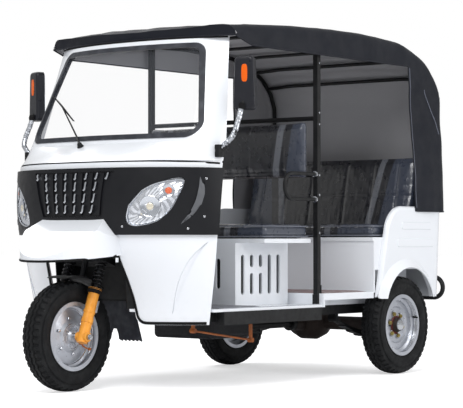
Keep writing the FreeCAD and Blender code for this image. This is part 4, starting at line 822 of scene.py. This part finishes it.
def headlamps():
    """Each lamp: a bright border, facets and bowls under the clear lens, and bulbs."""
    for side, word in ((1, "left"), (-1, "right")):
        skin = Skin("headlamp_" + word)
        border = [(y * side, z) for y, z in LAMP_LINE]
        rim, facets, bowl, lights = (Shape() for _ in range(4))
        rim.tube(skin.line(border + border[:1], 0.6, 5)[:-1], 0.0034, 8, closed=True)
        rim.piece("headlamp_border_" + word, CHROME, slot="bright_steel")
        facets.grid(facet_rows(border, side), wrap_columns=True)
        facets.piece("headlamp_reflector_" + word, REFLECTOR, smooth=0)
        for y, z, radius, bulb, height, mark in LAMP_BOWLS:
            place, normal = skin.front(y * side, z, LAMP_DEPTH)
            bowl.lathe([(radius * 0.42, 0.0004), (radius * 0.7, 0.0010), (radius * 0.93, 0.0030),
                        (radius, 0.0046), (radius * 1.05, 0.0030)], place, normal, 40)
            lights.dome(place, normal, bulb, height, mark)
        bowl.piece("headlamp_bowls_" + word, CHROME)
        lights.piece("headlamp_bulbs_" + word, [AMBER, BULB])


DOOR_EDGE = [(232, 741), (240, 664), (256, 560), (271, 455), (280, 392), (290, 358), (312, 338),
             (345, 333), (420, 333), (500, 333), (572, 333)]
FENDER_PLAN = [(-262, -62), (-238, 30), (-199, 120), (-141, 181), (-72, 211)]
COWL_LINE = [(-632, 1106), (-560, 1111), (-440, 1113), (-220, 1113)]
HEADER_LINE = [(-552, 1737), (-480, 1737), (-320, 1737), (-160, 1737)]
CRESCENT_LINE = [(604, 1038), (606, 985), (598, 915), (577, 858), (545, 812)]
TAB_PLATE = ((-0.012, -0.012), (0.006, -0.012), (0.006, 0.010), (-0.012, 0.010))


def across(half, middle):
    """A line from right to left, from its right half and its place in the middle."""
    return half + [(0, middle)] + [(-y, other) for y, other in reversed(half)]


def cab_edges():
    """Rubber round the cab's lower corners and along the fender's lip."""
    cab = Skin("cab_front")
    edges, lip = Shape(), Shape()
    for side in (-1, 1):
        edges.tube(cab.line([(y * side, z) for y, z in DOOR_EDGE], 1.5), 0.0075, 8, flat=0.55)
    edges.piece("cab_edge_rubber", RUBBER, slot="seal_rubber")
    plan = smoothed([Vector((x, y, 0)) for y, x in across(FENDER_PLAN, 221)], 8)
    lip.tube([at(p.x - 2, p.y * 0.992, 669 - 38 * (p.x + 160) / 401) for p in plan], 0.0062, 8)
    lip.piece("fender_lip", RUBBER, slot="seal_rubber")


def mask_trim():
    """Screws of the mask, the cowl's groove and the grey crescents, a painted highlight on the mask's
    creases.
    """
    mask = Skin("front_mask", "cab_front", "windscreen_surround")
    screws, groove, crescents = (Shape() for _ in range(3))
    for y, z in ((619, 1030), (615, 848), (300, 800), (566, 790)):
        for side in (-1, 1):
            screws.dome(*mask.front(y * side, z), 0.0062, 0.0032)
    screws.piece("mask_screws", STEEL)
    shell = Skin("cab_front", "windscreen_surround")
    groove.tube(shell.line(across(COWL_LINE, 1113), -0.5, 10), 0.0048, 8)
    groove.piece("cowl_groove_line", RUBBER)
    # Raised grey crescents over the mask's creases: painted highlight, not a grey part.
    panel = Skin("front_mask")
    spine = smoothed([Vector((0, y, z)) for y, z in CRESCENT_LINE])
    for side in (-1, 1):
        rows = []
        for i, p in enumerate(spine):
            share = i / (len(spine) - 1)
            half = 0.6 + 10 * math.sin(math.pi * share) ** 0.8
            row = []
            for offset, lift in ((-1, -0.5), (-0.4, 2.4), (0.4, 2.4), (1, -0.5)):
                place, normal = panel.front((p.y + offset * half * 0.7) * side, p.z - offset * half * 0.5)
                row.append(place + normal * (lift + 5.5 * math.sin(math.pi * share)) / 1000)
            rows.append(row)
        crescents.grid(rows)
    crescents.piece("mask_crease_highlights", CREASE_HIGHLIGHT)


def header_trim():
    """The cord over the windscreen, and the tabs that hold the fender."""
    seam, tabs = Shape(), Shape()
    seam.tube(Skin("windscreen_surround").line(across(HEADER_LINE, 1737), 1.2, 8), 0.0042, 8)
    seam.piece("header_cord", RUBBER, slot="seal_rubber")
    for side in (-1, 1):
        place = at(-68, 258 * side, 640)
        tabs.slab([place + Vector((x, 0, z)) for x, z in TAB_PLATE], LEFT * (0.003 * side))
    tabs.piece("fender_tabs", WHITE, bevel=0.001)


def wiper():
    """Pivot cap, tapered arm and a blade with its bridge, laid on the glass."""
    skin = Skin("windscreen", "windscreen_seal", "windscreen_surround")
    pivot, normal = skin.front(-112, 1200)
    elbow = skin.front(-190, 1262, 16)[0]
    tip = skin.front(-366, 1421, 17)[0]
    top = skin.front(-486, 1480, 12)[0]
    low = skin.front(-240, 1336, 12)[0]
    arm, edge = Shape(), Shape()
    arm.lathe([(0.017, 0), (0.017, 0.004), (0.013, 0.010), (0.011, 0.020), (0.006, 0.025), (0, 0.026)],
              pivot, normal, 24)
    base = pivot + normal * 0.018
    path = smoothed([base, base.lerp(elbow, 0.6) + normal * 0.006, elbow, tip])
    arm.tube(path, [0.0070 - 0.0035 * i / (len(path) - 1) for i in range(len(path))], 10, flat=0.6)
    arm.tube(smoothed([low.lerp(top, 0.12), tip + normal * 0.001, low.lerp(top, 0.88)]), 0.0038, 8)
    arm.tube(straight(low, top, 12), 0.0048, 8, flat=0.5)
    arm.piece("wiper_arm", BLACK, slot="black_paint", replaces=("wiper",))
    inward = (skin.front(-366, 1421, 2.2)[0] - skin.front(-366, 1421, 12)[0]) * 0.9
    edge.slab([low, top, top + inward, low + inward], LEFT * 0.002)
    edge.piece("wiper_rubber", RUBBER)


MIRROR_TURN = 22
MIRROR_GLASS = ((-48, -112), (-40, -118), (40, -118), (48, -112), (41, 112), (33, 118), (-33, 118),
                (-41, 112))
WRAP_SEED = 5
ARM_PATH = ((-391, 641, 1177), (-399, 672, 1205), (-409, 701, 1235), (-427, 709, 1276),
            (-452, 707, 1328), (-471, 705, 1370))


def squared(value):
    """Share of a radius on a rounded oblong rather than a circle."""
    return math.copysign(abs(value) ** 0.55, value)


def mirror_faces(side, word):
    """A mirror's glass, and the reflector on the back of its housing."""
    low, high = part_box("mirror_" + word)
    middle = (low + high) / 2
    turn = Matrix.Rotation(math.radians(MIRROR_TURN * side), 3, "Z")
    back, aside = turn @ -AHEAD, turn @ LEFT
    glass, pad = Shape(), Shape()
    glass.slab([middle + aside * y / 1000 + UP * z / 1000 + back * 0.0226 for y, z in MIRROR_GLASS],
               back * 0.0022)
    glass.piece("mirror_glass_" + word, MIRROR, bevel=0.0008)
    place = middle - back * 0.0228 + UP * 0.048 + aside * (0.004 * side)
    pad.slab([place + aside * (0.015 * squared(math.cos(t))) + UP * (0.043 * squared(math.sin(t)))
              for t in (2 * math.pi * k / 32 for k in range(32))], back * -0.0045)
    pad.piece("mirror_reflector_" + word, AMBER, bevel=0.0015)


def mirrors():
    """Both mirrors' faces, and the clamps, silver wrapping and ball joints of their arms."""
    for side, word in ((1, "left"), (-1, "right")):
        mirror_faces(side, word)
    noise.seed_set(WRAP_SEED)  # noise_vector starts from the clock otherwise
    clamps, wraps, joints = (Shape() for _ in range(3))
    for side in (-1, 1):
        for z in (1138, 1170):
            clamps.lathe([(0.008, 0), (0.020, 0), (0.022, 0.003), (0.022, 0.021), (0.020, 0.024),
                          (0.008, 0.024)], at(-389, 634 * side, z), UP, 20)
        clamps.nut(at(-389, 648 * side, 1150), LEFT * side, 0.009, 0.006)
        crumpled, sizes = [], []
        for i, p in enumerate(smoothed([at(x, y * side, z) for x, y, z in ARM_PATH], 12)):
            crumpled.append(p + noise.noise_vector(Vector((i * 0.9, side * 5, 2))) * 0.0022)
            sizes.append(0.0125 + 0.0035 * noise.noise(Vector((i * 1.7, side * 3, 8))))
        wraps.tube(crumpled, sizes, 14)
        joints.lathe([(0.010, 0), (0.016, 0.004), (0.018, 0.018), (0.015, 0.030), (0.010, 0.034)],
                     at(-473, 706 * side, 1366), UP, 20)
    clamps.piece("mirror_clamps", BLACK, smooth=25.0)
    wraps.piece("mirror_arm_wraps", FOIL, smooth=18.0)
    joints.piece("mirror_ball_joints", RUBBER)


# Cab and cabin

PAD_SWELL = 0.011
PAD_GAP = 0.0004
VOXELS = {"driver_cushion": 0.009, "rear_cushion": 0.009, "driver_backrest": 0.009,
          "rear_backrest": 0.0095}
CLOTH_STEPS = 20
CLOTH = {"quality": 5, "mass": 0.25, "tension_stiffness": 18, "compression_stiffness": 12,
         "bending_stiffness": 0.4, "use_pressure": True, "uniform_pressure_force": 4.0}
SEAMS = {
    "driver_cushion": {"across": [180, 410], "along": [0.10, 0.90], "deep": 0.0055},
    "rear_cushion": {"across": [0, 120, 240, 360, 480], "along": [0.10, 0.55, 0.92], "deep": 0.0065},
    "driver_backrest": {"across": [170, 400], "along": [0.12, 0.88], "deep": 0.0045},
    "rear_backrest": {"across": [120, 300, 470], "along": [0.08, 0.5, 0.93], "deep": 0.0065},
}


def pad_start(node, voxel):
    """A copy of a pad's solid, a little smaller and in even small faces."""
    mesh = frame["nodes"][node].data.copy()
    mesh.materials.clear()
    pad = placed(node + "_cover", mesh)
    low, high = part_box(node)
    middle = (low + high) / 2
    shrink = [1 - 2 * PAD_SWELL * 0.8 / size for size in high - low]
    for vertex in mesh.vertices:
        vertex.co = [m + (c - m) * share for c, m, share in zip(vertex.co, middle, shrink)]
    modifier = pad.modifiers.new("voxels", "REMESH")
    modifier.mode = "VOXEL"
    modifier.voxel_size = voxel
    return applied(pad)


def inflate(pads):
    """Blow the pads up as cloth, and cap how far each point moves."""
    starts = {}
    for pad in pads:
        starts[pad.name] = [v.co.copy() for v in pad.data.vertices]
        modifier = pad.modifiers.new("cloth", "CLOTH")
        for name, value in CLOTH.items():
            setattr(modifier.settings, name, value)
        modifier.settings.effector_weights.gravity = 0
        modifier.point_cache.frame_end = CLOTH_STEPS
    scene = bpy.context.scene
    for step in range(1, CLOTH_STEPS + 1):
        scene.frame_set(step)
    for pad in pads:
        applied(pad)
    scene.frame_set(1)
    for pad in pads:
        for vertex, start in zip(pad.data.vertices, starts[pad.name]):
            move = vertex.co - start
            if move.length > PAD_SWELL:
                vertex.co = start + move.normalized() * PAD_SWELL


def sew(node, pad):
    """Press the seams into a pad: borders, and the channels the covers show."""
    low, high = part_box(node)
    size = high - low
    upright = "backrest" in node
    out = AHEAD if upright else UP
    channels = SEAMS[node]
    deep = channels["deep"]
    normals = [vertex.normal.copy() for vertex in pad.data.vertices]
    for vertex, normal in zip(pad.data.vertices, normals):
        p = vertex.co
        aside = abs((p.y - (low.y + high.y) / 2) * 1000)
        height = (p.z - low.z) / size.z if upright else (high.x - p.x) / size.x
        dip = sum(deep * math.exp(-((aside - place) / 7.0) ** 2) for place in channels["across"])
        dip += sum(deep * 0.8 * math.exp(-((height - share) / 0.018) ** 2) for share in channels["along"])
        wrinkle = noise.noise(Vector((p.x * 16, p.y * 9, p.z * 13))) * 0.0016
        wrinkle += noise.noise(Vector((p.x * 34, p.y * 26, p.z * 30 + 7))) * 0.0007
        facing = normal.dot(out)
        if facing > 0.15:
            vertex.co = p - out * (dip - wrinkle) * min(1, facing * 1.6)
        for axis in range(3):
            vertex.co[axis] = min(max(vertex.co[axis], low[axis] + PAD_GAP), high[axis] - PAD_GAP)


def soft_pads():
    """Cushions and backrests: copies of the CAD solids, blown up as cloth, then sewn."""
    pads = {node: pad_start(node, voxel) for node, voxel in VOXELS.items()}
    inflate(pads.values())
    for node, pad in pads.items():
        sew(node, pad)
        modifier = pad.modifiers.new("soften", "SUBSURF")
        modifier.levels = modifier.render_levels = 1
        applied(pad)
        finished(pad, SEAT, "chassis", (node,), smooth=60.0)


PIPING_INSET = 0.0105
PIPING_CORNER = 0.020


def seat_trim():
    """Piping round the top and bottom of both cushions."""
    piping = Shape()
    for node in ("driver_cushion", "rear_cushion"):
        low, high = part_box(node)
        x0, x1 = low.x + PIPING_INSET, high.x - PIPING_INSET
        y0, y1 = low.y + PIPING_INSET, high.y - PIPING_INSET
        for z in (low.z + 0.010, high.z - 0.012):
            loop = [Vector((x, y, z)) for x, y in ((x1, y1), (x0, y1), (x0, y0), (x1, y0))]
            path = []
            for i, p in enumerate(loop):
                into = (p - loop[i - 1]).normalized() * PIPING_CORNER
                out = (loop[(i + 1) % 4] - p).normalized() * PIPING_CORNER
                path += smoothed([p - into, p - into * 0.3 + out * 0.3, p + out], 3)
            dense = []
            for i, p in enumerate(path):
                dense += straight(p, path[(i + 1) % len(path)], 3)[:-1]
            piping.tube(dense, 0.0032, 6, closed=True)
    piping.piece("seat_piping", PIPING)


FLOOR = 400.3
REAR_FLOOR = 457.3
MATS = (("driver_mat", -505, -805, 585, FLOOR, MAT, 26),
        ("passenger_mat", -1316, -1738, 578, REAR_FLOOR, RED_MAT, 30))
MAT_COLUMNS = 24


def mats():
    """Ribbed rubber on the driver's floor, a dull red mat behind it, and the sills' strips."""
    for name, x0, x1, half, z, finish, pitch in MATS:
        mat = Shape()
        rows = []
        count = int(abs(x1 - x0) / pitch * 4)
        for i in range(count + 1):
            x = x0 + (x1 - x0) * i / count
            rise = 0.0038 + (0.0016 if i % 4 < 2 else 0)
            row = []
            for k in range(MAT_COLUMNS + 1):
                y = -half + 2 * half * k / MAT_COLUMNS
                inside = 0 < i < count and 0 < k < MAT_COLUMNS
                wave = noise.noise(Vector((x / 130, y / 90, 0))) * 0.0012
                row.append(at(x, y, z) + UP * (rise + wave if inside else 0.0002))
            rows.append(row)
        mat.grid(rows)
        mat.piece(name, finish, smooth=30.0)
    sill = Shape()
    for side in (-1, 1):
        plate = ((-445, 586), (-1268, 586), (-1268, 604.5), (-445, 604.5))
        sill.slab([at(x, y * side, FLOOR) for x, y in plate], UP * 0.0022)
        for i in range(7):
            sill.dome(at(-480 - 125 * i, 595 * side, FLOOR + 2), UP, 0.0045, 0.0022)
    sill.piece("sill_strips", RIM, bevel=0.0008)


def frame_trim():
    """Bolts and loop clamps on the partition's poles, and the brackets at their feet."""
    bolts, feet = Shape(), Shape()
    for side in (-1, 1):
        for z in (772, 970, 1074, 1340, 1400, 1660):
            bolts.nut(at(-1285, 584.1 * side, z), LEFT * side, 0.0062, 0.0045)
        for z in (947, 1079):
            bolts.lathe([(0.0105, 0), (0.0165, 0), (0.0165, 0.006), (0.0105, 0.008)],
                        at(-1270.6, 570 * side, z), AHEAD, 20)
        for x, foot, top, depth in ((-1270, 400.6, 452, 0.003), (-1300, 458, 500, -0.003)):
            feet.slab([at(x, y * side, z) for y, z in ((553, foot), (587, foot), (587, top), (553, top))],
                      AHEAD * depth)
    bolts.piece("pole_bolts", STEEL, smooth=25.0)
    feet.piece("pole_feet", BLACK, bevel=0.001)


METER_AXIS = Vector((-0.55, 0, 0.83)).normalized()


def dashboard_parts():
    """The meter, and the rings and levers of the handlebar."""
    case, dial, rings, levers = (Shape() for _ in range(4))
    place = at(-190, 0, 1104)
    case.lathe([(0, 0), (0.052, 0), (0.056, 0.006), (0.056, 0.020), (0.050, 0.026), (0.047, 0.021),
                (0, 0.021)], place, METER_AXIS, 40)
    case.piece("meter_case", MASK)
    dial.lathe([(0, 0.0216), (0.046, 0.0216)], place, METER_AXIS, 40)
    dial.piece("meter_dial", DIAL)
    low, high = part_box("handlebar")
    for side in (-1, 1):
        end = Vector((low.x + 0.018, side * (high.y - 0.002), high.z - 0.020))
        inner = end + Vector((0.052, -side * 0.115, -0.006))
        for i in range(9):
            rings.lathe([(0.0165, 0), (0.0186, 0.002), (0.0186, 0.006), (0.0165, 0.008)],
                        end.lerp(inner, 0.06 + 0.1 * i), inner - end, 20)
        root = Vector((high.x - 0.065, side * 0.150, high.z - 0.020))
        steps = ((0, 0, 0), (0.030, 0.030, 0.004), (0.004, 0.105, 0.004), (-0.028, 0.140, 0.004))
        levers.tube(smoothed([root + Vector((x, y * side, z)) for x, y, z in steps]), 0.0046, 8, flat=0.7)
    rings.piece("grip_rings", RUBBER, "steering")
    levers.piece("bar_levers", STEEL, "steering")


# Canopy

ROOF_LINE = [(-430, 88), (-500, 60), (-700, 38), (-1192, 9), (-1580, 0), (-2016, 18), (-2228, 78),
             (-2326, 134), (-2409, 217), (-2452, 310)]
ROOF_TOP = 1850
HEADER_TOP = 1743
SKIRT_LOW = 1700
CURTAIN_LOW = 896
CURTAIN_TOP_X = -2090
CURTAIN_FOOT_X = -2126
REAR_FOOT_X = -2441
EDGE_RADIUS = 50
CROWN = 20
BOWS = [-640, -1285, -1750, -2050, -2240, -2360]
HALF_WIDTH = 612
FLARE = 0.0387
FRONT_EDGE = -430
FRONT_BOW = 142
FRONT_HALF = 698
FRONT_SHARES = (0.0, 0.26, 0.52, 0.535, 0.8)
FIRST_STATION = -655
SIDE_STEPS = 13
ROUND_STEPS = 6
TOP_STEPS = 14
ROOF_FROM = 1560
LIP_STEPS = 4
REAR_SEAM = [(-2247, 1578), (-2300, 1490), (-2352, 1400), (-2388, 1335)]
SIDE_SEAM = [(-2100, 1690), (-2110, 1400), (-2121, 1150), (-2134, 915)]


def roof_stations():
    """Places down the canopy's edge line, as x and z, from behind the front edge to the rear hem."""
    line = smoothed([Vector((x, 0, ROOF_TOP - drop)) for x, drop in ROOF_LINE], 12)
    line = [p for p in line if p.x < FIRST_STATION]
    foot = Vector((REAR_FOOT_X, 0, CURTAIN_LOW))
    return [p for i, p in enumerate(line) if i % 2 == 0] + straight(line[-1], foot, 26)[1:]


def roof_height_at(x):
    """Height of the roof's line at a distance from the front axle."""
    for (x1, d1), (x0, d0) in zip(ROOF_LINE, ROOF_LINE[1:]):
        if x0 <= x <= x1:
            return ROOF_TOP - (d0 + (d1 - d0) * (x - x0) / (x1 - x0))
    return ROOF_TOP - ROOF_LINE[0][1]


def side_y(z):
    """Half the canopy's width: its walls flare out downwards."""
    return HALF_WIDTH + FLARE * (ROOF_TOP - z)


def hem_of(p):
    """Where the hem lies in the side's plane, under a place of the edge line."""
    wall_top = ROOF_TOP - ROOF_LINE[-1][1]
    if p.z < wall_top:
        share = (wall_top - p.z) / (wall_top - CURTAIN_LOW)
        return (CURTAIN_TOP_X + (CURTAIN_FOOT_X - CURTAIN_TOP_X) * share,
                SKIRT_LOW + (CURTAIN_LOW - SKIRT_LOW) * share)
    return max(p.x, CURTAIN_TOP_X), SKIRT_LOW


def half_section(p, normal, hem, crown):
    """One side of the cloth at a place of the edge line, from the hem to the centre line."""
    low = p - normal * EDGE_RADIUS
    row = []
    for k in range(SIDE_STEPS):
        share = k / SIDE_STEPS
        x = hem[0] + (low.x - hem[0]) * share
        z = hem[1] + (low.z - hem[1]) * share
        row.append(Vector((x, side_y(z), z)))
    for k in range(ROUND_STEPS):
        turn = math.pi / 2 * k / ROUND_STEPS
        spot = p - normal * EDGE_RADIUS * (1 - math.sin(turn))
        row.append(Vector((spot.x, side_y(spot.z) - EDGE_RADIUS * (1 - math.cos(turn)), spot.z)))
    edge = side_y(p.z) - EDGE_RADIUS
    for k in range(TOP_STEPS + 1):
        share = 1 - k / TOP_STEPS
        rise = crown * (1 - (share * edge / HALF_WIDTH) ** 2)
        row.append(Vector((p.x, edge * share, p.z + rise)))
    return row


def front_x(y):
    """The canopy's front edge, which bows forward in the middle."""
    return FRONT_EDGE - FRONT_BOW * (y / FRONT_HALF) ** 2


def canopy_rows():
    """Half sections from the bowed front edge over the roof and down the rear wall."""
    stations = roof_stations()
    first = stations[0]
    edge_x = front_x(HALF_WIDTH)
    rows = []
    for share in FRONT_SHARES:
        p = Vector((edge_x + (first.x - edge_x) * share, 0, 0))
        p.z = roof_height_at(p.x)
        hem_z = HEADER_TOP + (SKIRT_LOW - HEADER_TOP) * share
        row = half_section(p, Vector((0.08, 0, 1)), (p.x, hem_z), 0)
        for q in row[SIDE_STEPS:]:
            x = front_x(q.y)
            q.x = x + (first.x - x) * share
            if q.y < HALF_WIDTH - EDGE_RADIUS:
                q.z = roof_height_at(q.x) + CROWN * (1 - (q.y / HALF_WIDTH) ** 2)
        rows.append(row)
    for i, p in enumerate(stations):
        along = (stations[min(i + 1, len(stations) - 1)] - stations[max(i - 1, 0)]).normalized()
        crown = CROWN * min(1, max(0, (p.z - 1520) / 130))
        rows.append(half_section(p, Vector((along.z, 0, -along.x)), hem_of(p), crown))
    return rows


def sagged(p, share):
    """Give of the cloth in millimetres at a place: between the bows, and in its soft folds."""
    sag = 0.0
    if p.z > ROOF_FROM:
        for front, rear in zip(BOWS, BOWS[1:]):
            if rear < p.x < front:
                span = (front - p.x) / (front - rear)
                deep = 7 if front > -2000 else 15
                sag = deep * math.sin(math.pi * span) ** 2 * (1 - share ** 4)
    fold = noise.noise(Vector((p.x / 260, p.y / 210, p.z / 420))) * 8
    fold += noise.noise(Vector(((p.x + p.z * 0.45) / 85, p.y / 120 + 9, p.z / 300))) * 6
    fold += noise.noise(Vector((p.x / 55, p.y / 60, p.z / 90 + 4))) * 2
    if abs(p.y) > 590 and p.z > SKIRT_LOW - 20 and p.x > -2080:
        ripple = math.sin(p.x / 52 + 3 * noise.noise(Vector((p.x / 300, 0, 3))))
        fold += 2.4 * ripple * min(1, (ROOF_TOP - p.z) / 150)
    if p.x < -2100 and p.z < 1600:
        ripple = math.sin((abs(p.y) if p.x < -2425 else p.x) / 46 + p.z / 260)
        fold += 2.6 * ripple * min(1, (1600 - p.z) / 400)
    fold += 3
    if p.z > ROOF_FROM:
        fold = min(fold, 5 + min(abs(p.x - bow) for bow in BOWS) / 12)
    return sag + fold


def canopy_sheet():
    """The open face of the cloth with its turned-in front lip, sagged and in metres."""
    rows = [half + [Vector((q.x, -q.y, q.z)) for q in reversed(half[:-1])] for half in canopy_rows()]
    edge = rows[0][SIDE_STEPS:len(rows[0]) - SIDE_STEPS]
    lip = []
    for k in range(LIP_STEPS + 1):
        share = k / LIP_STEPS
        inward = 6 * math.sin(math.pi / 2 * (1 - share))
        lip.append([Vector((q.x - inward, q.y, HEADER_TOP + (q.z - HEADER_TOP) * share)) for q in edge])
    shape = Shape()
    shape.grid(rows)
    shape.grid(lip)
    cover = shape.object("canopy_cover")
    work = bmesh.new()
    work.from_mesh(cover.data)
    bmesh.ops.remove_doubles(work, verts=work.verts, dist=0.4)
    bmesh.ops.dissolve_degenerate(work, edges=work.edges, dist=0.2)
    bmesh.ops.recalc_face_normals(work, faces=work.faces)
    work.normal_update()
    if max(work.faces, key=lambda face: face.calc_center_median().z).normal.z < 0:
        bmesh.ops.reverse_faces(work, faces=work.faces)
        work.normal_update()
    moves = [v.normal * -sagged(v.co, abs(v.co.y) / HALF_WIDTH) for v in work.verts]
    for vertex, move in zip(work.verts, moves):
        near_rail = HALF_WIDTH - abs(vertex.co.y) < 60 and vertex.co.z > ROOF_FROM
        vertex.co += move * (0.55 if near_rail else 1.0)
    bmesh.ops.scale(work, vec=(0.001, 0.001, 0.001), verts=work.verts)
    bmesh.ops.translate(work, vec=(FRONT, 0, 0), verts=work.verts)
    work.to_mesh(cover.data)
    work.free()
    return cover


def canopy_seams(tree):
    """Stitched seams down both sides, laid on the sheet."""
    seams = Shape()
    for side in (-1, 1):
        for points in (REAR_SEAM, SIDE_SEAM):
            path = []
            for p in smoothed([Vector((x, 0, z)) for x, z in points], 8):
                place = tree.ray_cast(at(p.x, 900 * side, p.z), LEFT * -side)[0]
                if place:
                    path.append(place + LEFT * (0.0012 * side))
            if len(path) > 3:
                seams.tube(path, 0.0026, 6)
    return seams.piece("canopy_seams", SEAM)


def canopy():
    """The canopy: one coated cloth over the bows, with skirts, side curtains and a rear wall."""
    cover = canopy_sheet()
    mesh = cover.data
    trim_path = [mesh.vertices[i].co.copy() for i in hem_order(mesh)]
    tree = tree_of(mesh)
    modifier = cover.modifiers.new("thickness", "SOLIDIFY")
    modifier.thickness = 0.003
    modifier.offset = -1
    modifier.material_offset = 1
    mesh.materials.append(CANOPY)
    mesh.materials.append(LINING)
    applied(cover)
    finished(cover, [], "chassis", ("canopy",), smooth=50.0)
    binding = Shape()
    binding.tube(trim_path, 0.0042, 8, closed=True)
    hem = binding.piece("canopy_binding", BINDING)
    stitched = canopy_seams(tree)


def hem_order(mesh):
    """The open edge of a mesh, as vertex numbers in order."""
    count = {}
    for polygon in mesh.polygons:
        for key in polygon.edge_keys:
            count[key] = count.get(key, 0) + 1
    follow = {}
    for (a, b), uses in count.items():
        if uses == 1:
            follow.setdefault(a, []).append(b)
            follow.setdefault(b, []).append(a)
    start = next(iter(follow))
    order, before, here = [start], None, start
    while True:
        onward = [v for v in follow[here] if v != before]
        before, here = here, onward[0]
        if here == start:
            return order
        order.append(here)


# The studio

FLOOR_REACH = 60.0


def add_floor():
    """A pale floor that the eye sees as almost white, and that keeps the shadow."""
    data = bpy.data.meshes.new("studio_floor")
    corners = [(x * FLOOR_REACH, y * FLOOR_REACH, 0) for x, y in ((-1, -1), (1, -1), (1, 1), (-1, 1))]
    data.from_pydata(corners, [], [(0, 1, 2, 3)])
    finish = Finish("studio_floor", roughness=0.9, Specular_IOR_Level=0.1)
    finish.colour(finish.blended(finish.noise(1.5, 2), (244, 244, 245), (241, 241, 243)))
    seen = finish.add("ShaderNodeLightPath").outputs["Is Camera Ray"]
    finish.set("Emission Color", (1, 1, 1, 1))
    finish.link(finish.maths("MULTIPLY", seen, 0.52), finish.shader.inputs["Emission Strength"])
    data.materials.append(finish.material)
    floor = placed("studio_floor", data)


def add_world():
    """A white surround: full white to the eye and through glass, gentler as a light."""
    world = bpy.data.worlds.new("studio")
    bpy.context.scene.world = world
    world.use_nodes = True
    tree = world.node_tree
    background = tree.nodes["Background"]
    background.inputs["Color"].default_value = (1, 1, 1, 1)
    path = tree.nodes.new("ShaderNodeLightPath")
    seen = tree.nodes.new("ShaderNodeMath")
    seen.operation = "MAXIMUM"
    tree.links.new(path.outputs["Is Camera Ray"], seen.inputs[0])
    tree.links.new(path.outputs["Is Transmission Ray"], seen.inputs[1])
    strength = tree.nodes.new("ShaderNodeMapRange")
    strength.inputs["To Min"].default_value = 0.55
    strength.inputs["To Max"].default_value = 1.0
    tree.links.new(seen.outputs["Value"], strength.inputs["Value"])
    tree.links.new(strength.outputs["Result"], background.inputs["Strength"])


def add_light(name, place, target, size, power):
    """A square lamp that faces a target."""
    data = bpy.data.lights.new(name, "AREA")
    data.size = size
    data.energy = power
    light = placed(name, data)
    light.location = place
    light.rotation_euler = (Vector(target) - Vector(place)).to_track_quat("-Z", "Y").to_euler()


def add_studio():
    add_floor()
    add_world()
    add_light("key_light", (5.0, 3.0, 6.0), (0, 0, 0.8), 4.0, 350)
    add_light("side_light", (-2.5, 7.0, 3.5), (-0.5, 0, 0.8), 4.0, 170)
    add_light("top_light", (-1.0, -4.0, 6.0), (0, 0, 0.8), 4.0, 140)
    bpy.context.scene.view_settings.view_transform = "Standard"


add_camera()
add_studio()
dress_cad_nodes()
for corner in ("front", "rear_left", "rear_right"):
    tyre(corner + "_tyre_tread", corner + "_tyre", corner + "_wheel")
front_wheel_trim()
rear_wheel_trim(1)
rear_wheel_trim(-1)
fork_springs()
fork_trim()
grille_teeth()
headlamps()
cab_edges()
mask_trim()
header_trim()
wiper()
mirrors()
dashboard_parts()
mats()
frame_trim()
seat_trim()
soft_pads()
canopy()
